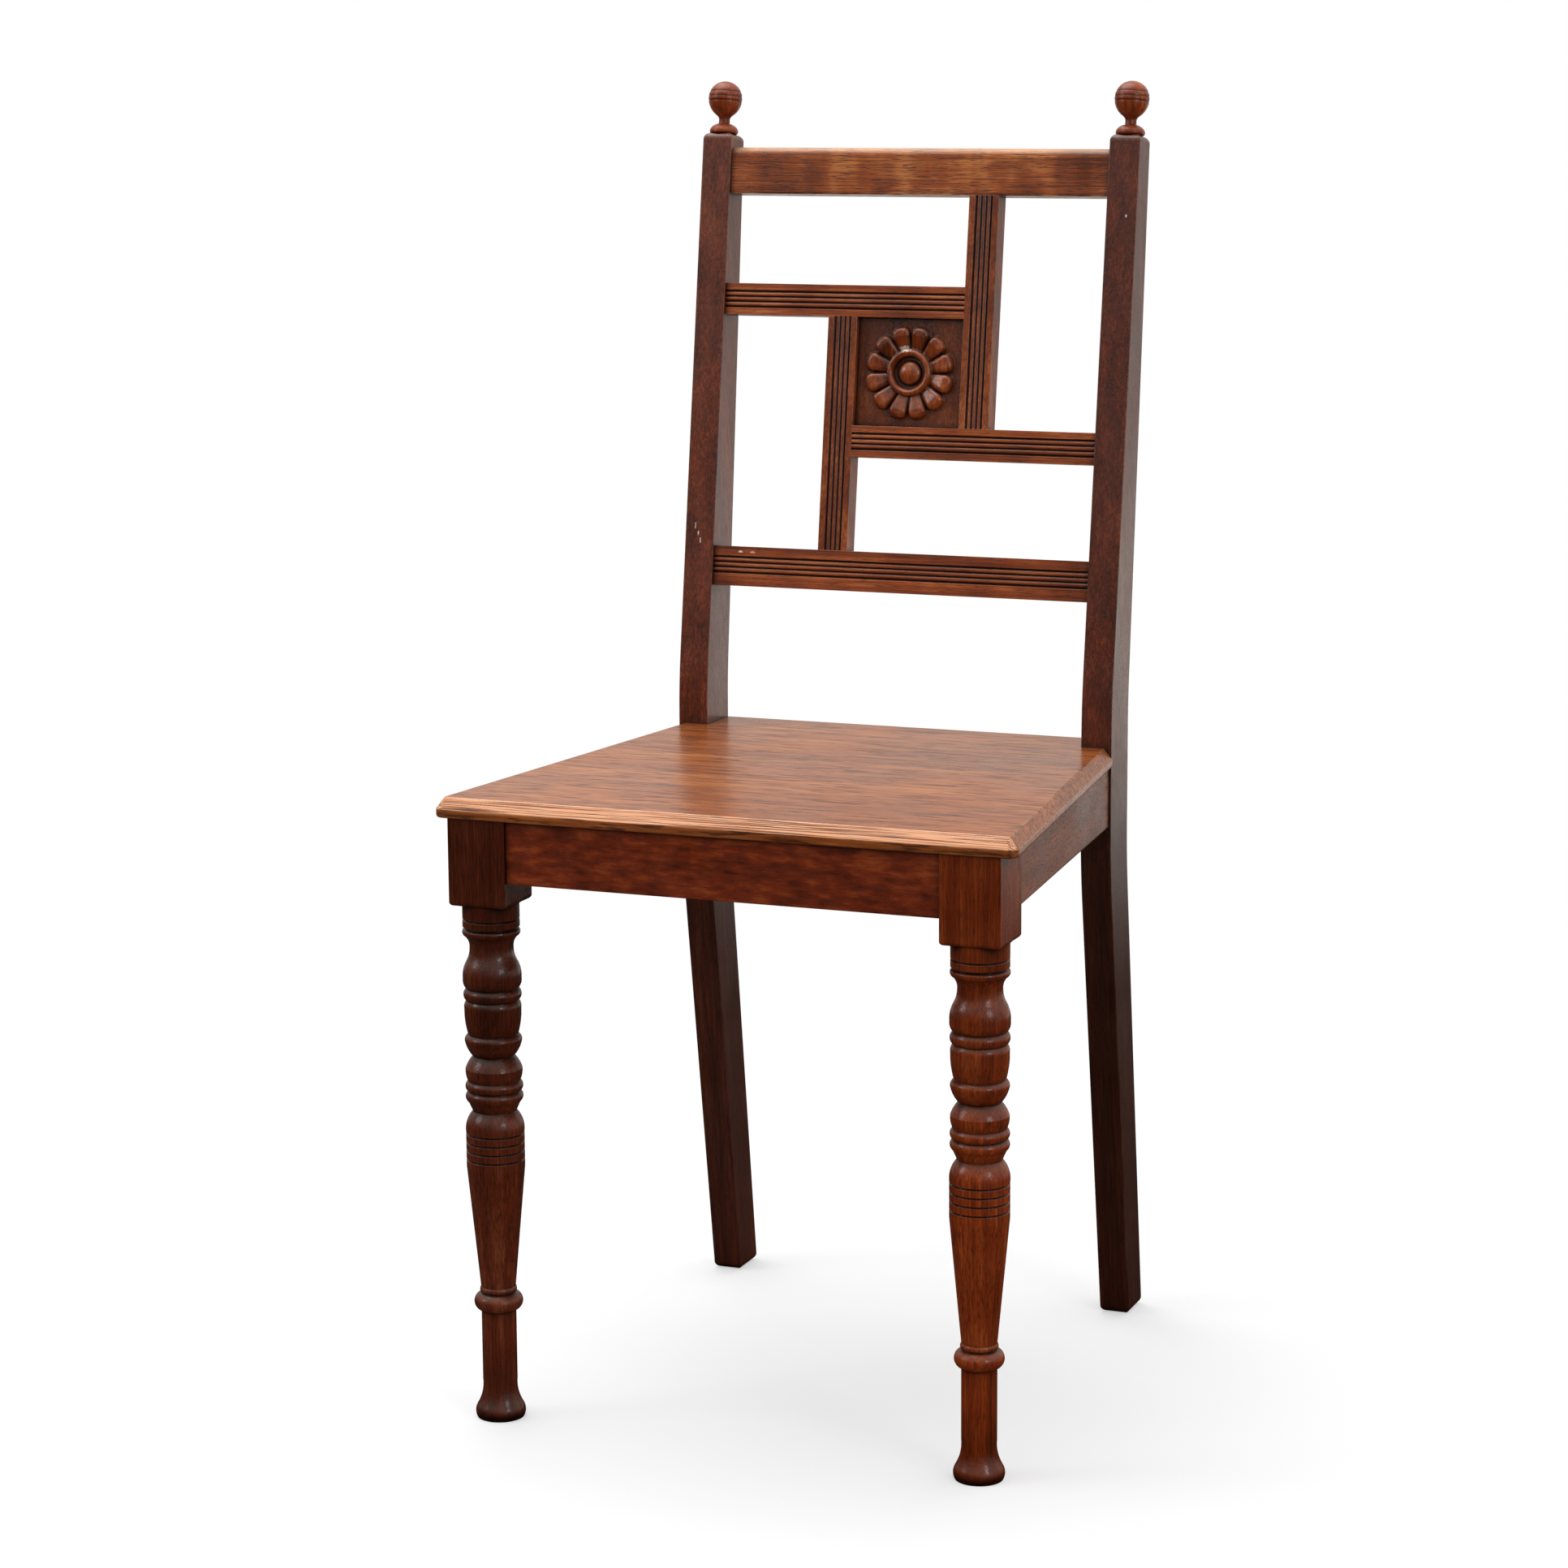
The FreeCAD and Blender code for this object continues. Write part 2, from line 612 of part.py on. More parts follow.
for side, sign in SIDES:
    post = new_body(f"{side}_post_blank")
    profile = sketch_on(post, "YZ_Plane", post_in if sign > 0 else -post_out)
    reach_y = sine(s.back_rake) * post_top
    reach_z = cosine(s.back_rake) * post_top
    foot = post_front + s.post_foot_setback
    outline(profile, [
        (foot, zero),
        (foot + s.post_foot_depth, zero),
        (post_back, s.post_lower_knee),
        (post_back, s.post_upper_knee),
        (post_front + reach_y + cosine(s.back_rake) * s.post_top_depth,
         s.post_upper_knee + reach_z - sine(s.back_rake) * s.post_top_depth),
        (post_front + reach_y, s.post_upper_knee + reach_z),
        (post_front, s.post_upper_knee),
        (post_front, s.post_lower_knee),
    ])
    shaft = pad(post, profile, s.post_width)
    knees = (s.post_lower_knee.number, s.post_upper_knee.number)
    bent = rounded(post, shaft, s.post_knee_radius,
                   lambda a, b: abs(a.z - b.z) < 0.01 and min(abs(a.z - k) for k in knees) < 0.01)
    top_low = s.post_upper_knee.number + reach_z.number - s.post_top_depth.number
    rounded(post, bent, s.post_edge_round,
            lambda a, b: max(a.z, b.z) < 0.01 or min(a.z, b.z) > top_low)

    spigot_hole = new_body(f"{side}_spigot_hole", tipped)
    hole_sketch = sketch_on(spigot_hole, "XZ_Plane", -s.post_top_depth / 2)
    bind(hole_sketch, "AttachmentOffset.Base.x", (post_in + s.post_width / 2) * sign)
    hole_radius = s.finial_spigot_diameter / 2 + clear
    hole_floor = post_top - s.finial_spigot_length - clear
    outline(hole_sketch, rectangle((zero, hole_floor), (hole_radius, post_top + s.post_top_reveal)))
    turned(spigot_hole, hole_sketch)

    mortises = [crest_mortise, lower_mortise, upper_mortise if sign < 0 else middle_mortise]
    nodes[f"rear_post_{side}"] = (post, mortises + [spigot_hole])

    finial = new_body(f"{side}_finial_blank", tipped)
    finial_sketch = sketch_on(finial, "XZ_Plane", -s.post_top_depth / 2)
    bind(finial_sketch, "AttachmentOffset.Base.x", (post_in + s.post_width / 2) * sign)
    spigot = s.finial_spigot_diameter / 2
    collar = s.finial_collar_diameter / 2
    neck = s.finial_neck_diameter / 2
    flare = s.finial_flare_diameter / 2
    ball = s.finial_ball_diameter / 2
    neck_z = post_top + s.finial_collar_height
    flare_z = neck_z + s.finial_neck_height
    belly_z = flare_z + s.finial_flare_height
    ball_z = belly_z + s.finial_ball_drop
    outline(finial_sketch, [
        (zero, post_top - s.finial_spigot_length),
        (spigot, post_top - s.finial_spigot_length),
        (spigot, post_top),
        (collar, post_top, s.finial_collar_swell),
        (neck, neck_z),
        (neck, flare_z, -s.finial_flare_hollow),
        (flare, belly_z, s.finial_ball_belly),
        (ball, ball_z, ball * QUARTER_RISE),
        (zero, ball_z + ball),
    ])
    turned(finial, finial_sketch)
    finish(f"finial_{side}", finial)


# Front legs: a square block over a turning. The long taper takes up what the seat height leaves.

TAPER_LINES = 4


def incised(steps, radius):
    """A narrow line cut into a plain round."""
    steps.append((s.leg_line_width / 2, radius - s.leg_line_depth, None))
    steps.append((s.leg_line_width / 2, radius, None))


upper_turning = [(s.leg_round_height, s.leg_girth, None)]
incised(upper_turning, s.leg_girth)
upper_turning += [
    (s.leg_band_height, s.leg_girth, None),
    (s.leg_groove_width / 2, s.leg_seam, None),
    (s.leg_groove_width / 2, s.leg_girth, None),
    (s.leg_fillet_height, s.leg_seam, s.leg_fillet_swell),
    (s.leg_cove_height, s.leg_hollow, -s.leg_cove_hollow),
    (s.leg_vase_neck_height, s.leg_waist, -s.leg_vase_neck_hollow),
    (s.leg_vase_body_height, s.leg_full, s.leg_vase_body_swell),
    (s.leg_vase_foot_height, s.leg_seam, s.leg_vase_foot_swell),
    (s.leg_ring_height, s.leg_seam, s.leg_ring_swell),
    (s.leg_cup_lip_height, s.leg_girth, s.leg_cup_swell),
    (s.leg_cup_height, s.leg_waist, s.leg_cup_swell),
    (s.leg_flange_height, s.leg_girth, s.leg_flange_swell),
    (s.leg_flange_slope, s.leg_pinch, s.leg_flange_belly),
    (s.leg_saucer_height, s.leg_girth, s.leg_saucer_swell),
    (s.leg_rim_height, s.leg_seam, s.leg_saucer_swell),
    (s.leg_bead_height, s.leg_seam, s.leg_bead_swell),
    (s.leg_bead_height, s.leg_seam, s.leg_bead_swell),
    (s.leg_slope_height, s.leg_hollow, None),
    (s.leg_bulb_height, s.leg_full, s.leg_bulb_swell),
]
for line in range(TAPER_LINES):
    incised(upper_turning, s.leg_full)
    upper_turning.append((s.leg_line_pitch - s.leg_line_width, s.leg_full, None))

foot_turning = [
    (s.leg_collar_height, s.leg_ankle, s.leg_collar_swell),
    (s.leg_anklet_height, s.leg_ankle, s.leg_anklet_swell),
    (s.leg_ankle_height, s.leg_ankle, None),
    (s.leg_flare_height, s.leg_pad_radius, -s.leg_flare_hollow),
    (s.leg_pad_height, s.leg_pad_radius, s.leg_pad_swell),
]
foot_height = zero
for height, radius, swell in foot_turning:
    foot_height = foot_height + height

# The turning's outline is drawn downwards on the outside, so a swell lies to its left.
turning = [(zero, block_under), (s.leg_girth, block_under)]
level = block_under
for height, radius, swell in upper_turning:
    if swell:
        turning[-1] = turning[-1] + (-swell,)
    level = level - height
    turning.append((radius, level))
level = foot_height
turning.append((s.leg_ankle, level))
for height, radius, swell in foot_turning:
    if swell:
        turning[-1] = turning[-1] + (-swell,)
    level = level - height
    turning.append((radius, level))
turning.append((zero, level))


def under_edge(a, b):
    low = max(abs(a.z - block_under.number), abs(b.z - block_under.number)) < 0.01
    return low and a.distanceToPoint(b) > 2 * s.leg_girth.number


for side, sign in SIDES:
    leg = new_body(f"{side}_leg_blank")
    bind(leg, "Placement.Base.x", leg_x * sign)
    bind(leg, "Placement.Base.y", leg_y)
    leg_sketch = sketch_on(leg, "XZ_Plane")
    outline(leg_sketch, turning)
    turned(leg, leg_sketch)
    square = (-half_block, half_block)
    block = add_box(leg, square, square, (block_under, board_under))
    rounded(leg, block, s.leg_block_round, under_edge)
    nodes[f"front_leg_{side}"] = (leg, [])


# Seat rails: four boards on edge between the blocks and the posts, dowelled at both ends.

def side_face(y, inset=zero):
    """How far out the outer face of a side rail stands at a depth in the chair."""
    at_leg = leg_x + half_block - s.side_rail_leg_recess
    at_post = post_out - s.side_rail_post_recess
    share = (y - leg_y - half_block) / (s.leg_to_post - half_block)
    return at_leg - (at_leg - at_post) * share - inset


rail_front = leg_y - half_block + s.front_rail_recess
front_rail_y = (rail_front, rail_front + s.seat_rail_thickness)
back_rail_end = post_back - s.back_rail_inset
back_rail_y = (back_rail_end - s.seat_rail_thickness, back_rail_end)
rail_z = (rail_under, board_under)
front_rail_x = leg_x - half_block
blanks = {
    "front_seat_rail": box("front_rail_blank", (-front_rail_x, front_rail_x), front_rail_y, rail_z),
    "back_seat_rail": box("back_rail_blank", across, back_rail_y, rail_z),
}
side_rail_y = (leg_y + half_block, post_front)
for side, sign in SIDES:
    rail = new_body(f"{side}_rail_blank")
    rail_sketch = sketch_on(rail, "XY_Plane", rail_under)
    outline(rail_sketch, [
        (side_face(side_rail_y[0]) * sign, side_rail_y[0]),
        (side_face(side_rail_y[1]) * sign, side_rail_y[1]),
        (side_face(side_rail_y[1], s.seat_rail_thickness) * sign, side_rail_y[1]),
        (side_face(side_rail_y[0], s.seat_rail_thickness) * sign, side_rail_y[0]),
    ])
    pad(rail, rail_sketch, s.seat_rail_height)
    blanks[f"{side}_seat_rail"] = rail
for label, blank in blanks.items():
    nodes[label] = (blank, [])

dowels = []


def dowel_pair(name, owners, x, y, axis):
    """Two dowels, one over the other, each half in a rail and half in a leg or post."""
    for level, step in (("low", -0.5), ("high", 0.5)):
        middle = (x, y, rail_middle + s.dowel_pitch * step)
        radius = s.dowel_diameter / 2
        dowels.append(rod(f"{name}_{level}_dowel", radius, s.dowel_length, middle, axis))
        hole = rod(f"{name}_{level}_hole", radius + clear, s.dowel_length + clear * 2, middle, axis)
        for owner in owners:
            nodes[owner][1].append(hole)


half_rail = s.seat_rail_thickness / 2
for side, sign in SIDES:
    leg_name = f"front_leg_{side}"
    post_name = f"rear_post_{side}"
    rail_name = f"{side}_seat_rail"
    front_y = (front_rail_y[0] + front_rail_y[1]) / 2
    dowel_pair(f"{side}_front", ("front_seat_rail", leg_name), front_rail_x * sign, front_y, "x")
    back_y = (back_rail_y[0] + back_rail_y[1]) / 2 + half_rail / 2
    dowel_pair(f"{side}_back", ("back_seat_rail", post_name), post_in * sign, back_y, "x")
    leg_end = side_rail_y[0]
    dowel_pair(f"{side}_leg", (rail_name, leg_name), side_face(leg_end, half_rail) * sign, leg_end, "y")
    post_end = side_rail_y[1]
    dowel_pair(f"{side}_post", (rail_name, post_name), side_face(post_end, half_rail) * sign, post_end, "y")
group("seat_rail_dowels", dowels)


# Seat board: one solid board, bevelled on its front and sides and notched round the posts.

seat = new_body("seat_blank")
seat_back = post_back - s.seat_back_inset
front_half = leg_x + half_block + s.seat_side_lip
rear_half = post_out + s.seat_rear_lip
notch_y = post_front - clear
notch_x = post_in - clear
seat_sketch = sketch_on(seat, "XY_Plane", board_under)
outline(seat_sketch, [
    (-front_half, seat_front),
    (front_half, seat_front),
    (rear_half, notch_y),
    (notch_x, notch_y),
    (notch_x, seat_back),
    (-notch_x, seat_back),
    (-notch_x, notch_y),
    (-rear_half, notch_y),
])
slab = pad(seat, seat_sketch, s.seat_thickness)


def on_rim(a, b, level):
    """An edge of the board's front or sides at one level."""
    flat = max(abs(a.z - level.number), abs(b.z - level.number)) < 0.01
    across_post = min(a.y, b.y) > notch_y.number - 0.01
    return flat and not across_post and min(abs(a.x), abs(b.x)) > notch_x.number + 5


corner = rounded(seat, slab, s.seat_corner_round,
                 lambda a, b: abs(a.z - b.z) > 1 and max(a.y, b.y) < leg_y.number)
doc.recompute()
bevel = seat.newObject("PartDesign::Chamfer", "seat_bevel")
bevel.Base = (corner, [f"Edge{i}" for i, edge in enumerate(corner.Shape.Edges, start=1)
                       if on_rim(edge.Vertexes[0].Point, edge.Vertexes[-1].Point, s.seat_height)])
bevel.ChamferType = "Two distances"
bind(bevel, "Size", s.seat_bevel_drop)
bind(bevel, "Size2", s.seat_bevel_width)
rounded(seat, bevel, s.seat_nose_round, lambda a, b: on_rim(a, b, board_under))
nodes["seat_board"] = (seat, [])


# Corner blocks: each fills the angle behind a leg block or in front of a post, glued and
# screwed to two rails, with one more screw up into the seat board.

screws = {"seat_screws": [], "corner_block_screws": []}

# Places of the screws, as shares of a corner block's reach.
SEAT_SCREW_ASIDE = 0.2
SEAT_SCREW_AHEAD = 0.42
RAIL_SCREW_ASIDE = 0.62
RAIL_SCREW_HEAD = 0.3


def screw(name, kind, length, head, axis, sign, owners):
    """A countersunk wood screw by the middle of its head's face; its point lies along the axis."""
    item = new_body(name)
    turn = {"z": (FreeCAD.Vector(1, 0, 0), 0), "y": (FreeCAD.Vector(-1, 0, 0), 90 * sign),
            "x": (FreeCAD.Vector(0, 1, 0), 90 * sign)}[axis]
    for body, room in ((item, zero), (new_body(f"{name}_hole"), clear)):
        for direction, size in zip("xyz", head):
            bind(body, f"Placement.Base.{direction}", size)
        body.Placement = FreeCAD.Placement(body.Placement.Base, FreeCAD.Rotation(*turn))
        profile = sketch_on(body, "XZ_Plane")
        wide = s.screw_head_diameter / 2 + room
        thin = s.screw_diameter / 2 + room
        start = zero if body is item else -s.corner_block_reach
        points = [(zero, start), (wide, start)]
        if body is not item:
            points.append((wide, zero))
        points += [(thin, s.screw_head_height), (thin, length - s.screw_diameter), (zero, length + room)]
        outline(profile, points)
        turned(body, profile)
        if body is item:
            screws[kind].append(item)
        else:
            for owner in owners:
                nodes[owner][1].append(body)


block_z = (board_under - s.corner_block_height, board_under)
block_middle = board_under - s.corner_block_height / 2
corners = {}
for side, sign in SIDES:
    front_y = front_rail_y[1]
    front_end = leg_y + half_block
    leg_face = front_rail_x
    tip = front_end + s.corner_block_reach
    inner = s.seat_rail_thickness + clear
    corners[f"front_{side}"] = (sign, "front_seat_rail", 1, front_y, leg_face, [
        (leg_face - s.corner_block_reach, front_y + clear),
        (leg_face - clear, front_y + clear),
        (leg_face - clear, front_end + clear),
        (side_face(front_end + clear, inner), front_end + clear),
        (side_face(tip, inner), tip),
    ])
    back_y = back_rail_y[0]
    tip = post_front - s.corner_block_reach
    corners[f"back_{side}"] = (sign, "back_seat_rail", -1, back_y, post_in, [
        (post_in - s.corner_block_reach, back_y - clear),
        (post_in - clear, back_y - clear),
        (post_in - clear, post_front - clear),
        (side_face(post_front - clear, inner), post_front - clear),
        (side_face(tip, inner), tip),
    ])

for name, (sign, rail_name, facing, rail_y, face_x, points) in corners.items():
    label = f"corner_block_{name}"
    corner_block = new_body(f"{name}_corner_blank")
    block_sketch = sketch_on(corner_block, "XY_Plane", block_z[0])
    outline(block_sketch, [(x * sign, y) for x, y in points])
    pad(corner_block, block_sketch, s.corner_block_height - clear)
    nodes[label] = (corner_block, [])
    side_rail = "left_seat_rail" if sign < 0 else "right_seat_rail"
    seat_x = face_x - s.corner_block_reach * SEAT_SCREW_ASIDE
    seat_y = rail_y + s.corner_block_reach * SEAT_SCREW_AHEAD * facing
    screw(f"{name}_seat_screw", "seat_screws", s.seat_screw_length,
          (seat_x * sign, seat_y, block_z[0]), "z", 1, (label, "seat_board"))
    rail_x = face_x - s.corner_block_reach * RAIL_SCREW_ASIDE
    rail_head = rail_y + s.corner_block_reach * RAIL_SCREW_HEAD * facing
    screw(f"{name}_rail_screw", "corner_block_screws", s.rail_screw_length,
          (rail_x * sign, rail_head, block_middle), "y", -facing, (label, rail_name))
    tip_y = points[4][1]
    side_y = tip_y - s.corner_block_reach * RAIL_SCREW_HEAD * facing
    side_x = side_face(side_y, inner) - s.corner_block_reach * RAIL_SCREW_HEAD
    screw(f"{name}_side_screw", "corner_block_screws", s.rail_screw_length,
          (side_x * sign, side_y, block_middle), "x", sign, (label, side_rail))
for label, items in screws.items():
    group(label, items)


# Every piece with its joints cut, checked and written out.

for label, item in list(nodes.items()):
    if isinstance(item, tuple):
        finish(label, item[0], item[1])
doc.recompute()

for item in doc.Objects:
    if "Invalid" in item.State or "Error" in item.State:
        raise RuntimeError(f"{item.Name}: {item.State}")
for label, item in nodes.items():
    if item.Shape.isNull() or not item.Shape.isValid():
        raise RuntimeError(f"{label}: no valid shape")

os.makedirs("parts", exist_ok=True)
for label, item in nodes.items():
    item.Shape.exportStep(f"parts/{label}.step")
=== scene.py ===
import bpy
import math
import mathutils
import numpy as np
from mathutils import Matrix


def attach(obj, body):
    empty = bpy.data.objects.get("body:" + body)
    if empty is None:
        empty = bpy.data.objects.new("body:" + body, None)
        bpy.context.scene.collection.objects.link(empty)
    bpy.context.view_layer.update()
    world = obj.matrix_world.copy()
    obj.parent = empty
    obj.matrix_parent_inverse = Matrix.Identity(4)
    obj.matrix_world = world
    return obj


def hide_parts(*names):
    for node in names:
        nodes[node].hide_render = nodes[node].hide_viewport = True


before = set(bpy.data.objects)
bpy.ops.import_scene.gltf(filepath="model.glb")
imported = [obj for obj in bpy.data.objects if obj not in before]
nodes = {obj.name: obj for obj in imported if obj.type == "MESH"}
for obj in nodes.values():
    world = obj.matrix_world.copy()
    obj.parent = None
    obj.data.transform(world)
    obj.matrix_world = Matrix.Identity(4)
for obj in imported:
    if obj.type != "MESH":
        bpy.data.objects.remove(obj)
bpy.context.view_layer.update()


# Rear posts: back leg and stile of each side, sawn in one from a length of oak, grain upright.
# The varnish is dark red-brown with a soft sheen, rubbed paler along the edges and scratched in places.
# They are mortised for the rails of the back, and darkened below the seat with painted shade.

POST_TONES = {"left": ("#3c180b", "#6a2d16", "#8a4424"), "right": ("#341308", "#5a230f", "#7a381a")}
BACK_RAKE = math.radians(8.2)
GRAIN_AXIS = {"x": 0, "y": 1, "z": 2}
# Growth bands, and the rays that show as pale patches across them, across and along in mm.
BAND_MM = (11, 420)
RAY_MM = (40, 160)
# Noise levels between which each pattern goes from none to full, and how far the rays swing the tone.
TONE_SPAN = (0.36, 0.64)
RAY_SPAN = (0.42, 0.62)
RAY_SWING = (-0.5, 0.5)
PORE_SPAN = (0.53, 0.62)
RUB_SPAN = (0.7, 1.0)
DULL_SPAN = (0.3, 0.9)
# Share of the tone's span from deep to body, and of the deep tone left in pores, in painted shade and where
# the wood is darkened.
BODY_TONE = 0.55
PORE_AND_SHADE_TONE = 0.3
# Cosine of the bend at an edge where the rubbing starts and is full, how far streaks break it up, and
# the openness at which the painted shade of a crease ends.
EDGE_BEND = (0.995, 0.88)
STREAK_RUB = 0.7
CREASE_END = 0.95
# Depth of the pores in m, height of the streaks against it, and how pores and patches dull the varnish.
GRAIN_DEPTH = 0.0003
STREAK_RIDGE = 0.25
PORE_DULL = 0.25
ROUGHNESS_SWING = (-0.06, 0.16)
COAT_ROUGHNESS = 0.2
NEAR_SAMPLES = 6
# Sockets of a mix of colours: its share, the colour under, the colour over, and the result.
SHARE, UNDER, OVER, MIXED = 0, 6, 7, 2


def linear(code):
    """Turn an sRGB hex code into linear colour with full alpha."""
    parts = [int(code[i:i + 2], 16) / 255 for i in (1, 3, 5)]
    return [p / 12.92 if p <= 0.04045 else ((p + 0.055) / 1.055) ** 2.4 for p in parts] + [1.0]


def add(tree, kind, inputs=(), **settings):
    """Add a shader node with its settings, set or link its inputs by number or name, and give its outputs."""
    item = tree.nodes.new("ShaderNode" + kind)
    for name, value in settings.items():
        setattr(item, name, value)
    pairs = inputs.items() if isinstance(inputs, dict) else enumerate(inputs)
    for key, value in pairs:
        if isinstance(value, bpy.types.NodeSocket):
            tree.links.new(value, item.inputs[key])
        else:
            item.inputs[key].default_value = value
    return item.outputs


def fibres(tree, place, grain, across_mm, along_mm, detail):
    """Noise drawn out along the grain, so that a single streak has the two lengths given."""
    scale = [1000 / across_mm] * 3
    scale[GRAIN_AXIS[grain]] = 1000 / along_mm
    drawn = add(tree, "VectorMath", [place, scale], operation="MULTIPLY")[0]
    return add(tree, "TexNoise", {"Vector": drawn, "Scale": 1.0, "Detail": detail, "Roughness": 0.6})[0]


# Oak's pores are about 0.3 mm wide, too fine to show, so they are drawn 0.6 mm wide. The seat is seen
# at a low angle and has them wider still.
def timber(name, grain, tones, lean=0.0, shift=0.0, figure=(0.4, 0.35, 0.25), fleck=0.0, blotch_mm=45,
           streak_mm=(1.3, 60), pore_mm=(0.6, 11), pores=0.55, open_grain=0.3, worn="#8a5238", wear=0.8,
           round_mm=1.4, crease_mm=8, crease_open=0.45, crease_shade=0.75, roughness=0.34, shine=0.5, coat=0.1,
           marks=(), darkened=()):
    """Timber, varnished or bare: tones laid one over another, each by its share.

    Bands, streaks and blotches, in the shares of figure, go from a deep tone through a body to a bright
    one. Over them lie rubbed edges, pores, marks, painted shade in creases, and what else is darkened. A
    mark or a darkened place is a function that takes the tree and the patterns, and gives its share and
    tone. lean tips the grain with the back, and shift takes it from another part of the log. fleck, pores,
    wear and crease shade say how strongly rays, pores, rubbed edges and the painted shade of creases show,
    round_mm and crease_mm how wide an edge and a crease are, and roughness, shine and coat how the varnish
    lies.
    """
    material = bpy.data.materials.new(name)
    material.use_nodes = True
    tree = material.node_tree
    tree.nodes.clear()
    deep, body, bright = [linear(tone) for tone in tones]
    dark = [part * PORE_AND_SHADE_TONE for part in deep[:3]] + [1.0]

    place = add(tree, "TexCoord")["Object"]
    moved = add(tree, "VectorMath", [place, [shift] * 3], operation="ADD")[0]
    turned = add(tree, "VectorRotate", {"Vector": moved, "Axis": [1, 0, 0], "Angle": lean},
                 rotation_type="AXIS_ANGLE")[0]
    bands = fibres(tree, turned, grain, *BAND_MM, detail=3.0)
    streaks = fibres(tree, turned, grain, *streak_mm, detail=4.0)
    pits = fibres(tree, turned, grain, *pore_mm, detail=2.0)
    blotch = add(tree, "TexNoise", {"Vector": moved, "Scale": 1000 / blotch_mm, "Detail": 3.0})[0]
    tone = 0.0
    for pattern, share in zip((bands, streaks, blotch), figure):
        part = add(tree, "Math", [pattern, share], operation="MULTIPLY")[0]
        tone = add(tree, "Math", [part, tone], operation="ADD")[0]
    if fleck:
        rays = fibres(tree, turned, "z" if grain == "x" else "x", *RAY_MM, detail=2.0)
        rays = add(tree, "MapRange", [rays, *RAY_SPAN, *RAY_SWING])[0]
        rays = add(tree, "Math", [rays, fleck], operation="MULTIPLY")[0]
        tone = add(tree, "Math", [tone, rays], operation="ADD")[0]
    tone = add(tree, "MapRange", [tone, *TONE_SPAN])[0]
    pit = add(tree, "MapRange", [pits, *PORE_SPAN])[0]

    normal = add(tree, "NewGeometry")["Normal"]
    soft = add(tree, "Bevel", {"Radius": round_mm / 1000}, samples=NEAR_SAMPLES)[0]
    bend = add(tree, "VectorMath", [soft, normal], operation="DOT_PRODUCT")["Value"]
    edge = add(tree, "MapRange", [bend, *EDGE_BEND])[0]
    rub = add(tree, "Math", [streaks, STREAK_RUB], operation="MULTIPLY")[0]
    rub = add(tree, "Math", [blotch, rub], operation="ADD")[0]
    rub = add(tree, "MapRange", [rub, *RUB_SPAN])[0]
    edge = add(tree, "Math", [edge, rub], operation="MULTIPLY")[0]
    edge = add(tree, "Math", [edge, wear], operation="MULTIPLY")[0]
    openness = add(tree, "AmbientOcclusion", {"Distance": crease_mm / 1000}, samples=NEAR_SAMPLES)["AO"]

    wood = {"place": place, "turned": turned, "normal": normal, "streaks": streaks, "blotch": blotch,
            "dark": dark}
    layers = [
        (add(tree, "MapRange", [tone, 0.0, BODY_TONE])[0], body),
        (add(tree, "MapRange", [tone, BODY_TONE, 1.0])[0], bright),
        (edge, linear(worn)),
        (add(tree, "Math", [pit, pores], operation="MULTIPLY")[0], dark),
        *[lay(tree, wood) for lay in marks],
        # Painted shade in creases: darker where ambient occlusion finds little open air.
        (add(tree, "MapRange", [openness, crease_open, CREASE_END, crease_shade, 0.0])[0], dark),
        *[lay(tree, wood) for lay in darkened],
    ]
    colour = deep
    for share, over in layers:
        colour = add(tree, "Mix", {SHARE: share, UNDER: colour, OVER: over}, data_type="RGBA")[MIXED]

    ridge = add(tree, "Math", [streaks, STREAK_RIDGE], operation="MULTIPLY")[0]
    height = add(tree, "Math", [ridge, pit], operation="SUBTRACT")[0]
    bump = add(tree, "Bump", {"Strength": open_grain, "Distance": GRAIN_DEPTH, "Height": height,
                              "Normal": soft})[0]
    dull = add(tree, "Math", [pit, PORE_DULL], operation="MULTIPLY")[0]
    dull = add(tree, "Math", [blotch, dull], operation="ADD")[0]
    dull = add(tree, "MapRange", [dull, *DULL_SPAN, *[roughness + swing for swing in ROUGHNESS_SWING]])[0]
    shader = add(tree, "BsdfPrincipled", {
        "Base Color": colour, "Roughness": dull, "Specular IOR Level": shine, "Normal": bump,
        "Coat Weight": coat, "Coat Roughness": COAT_ROUGHNESS, "Coat Normal": soft,
    })[0]
    add(tree, "OutputMaterial", [shader])
    return material


# How far streaks of the grain push the edge of a mark in or out, and where the mark fades, as shares
# of its half sizes.
RAGGED_SPAN = (0.3, 0.7)
RAGGED_BY = (-0.6, 0.6)
FADE = (1.0, 0.6)


def scuff(middle, half, tone):
    """A mark where the varnish is gone: an ellipsoid of the half sizes given, in m, with a ragged edge."""
    def lay(tree, wood):
        away = add(tree, "VectorMath", [wood["place"], middle], operation="SUBTRACT")[0]
        away = add(tree, "VectorMath", [away, half], operation="DIVIDE")[0]
        away = add(tree, "VectorMath", [away], operation="LENGTH")["Value"]
        ragged = add(tree, "MapRange", [wood["streaks"], *RAGGED_SPAN, *RAGGED_BY])[0]
        ragged = add(tree, "Math", [away, ragged], operation="ADD")[0]
        return add(tree, "MapRange", [ragged, *FADE])[0], linear(tone)
    return lay


def darker(start, end, most):
    """Darkening that grows from one height to another, both in m; under the seat it is painted shade."""
    def lay(tree, wood):
        upright = add(tree, "SeparateXYZ", [wood["place"]])["Z"]
        return add(tree, "MapRange", [upright, start, end, 0.0, most])[0], wood["dark"]
    return lay


def paint(piece, material):
    """Give a piece one material in its only slot."""
    piece.data.materials.clear()
    piece.data.materials.append(material)


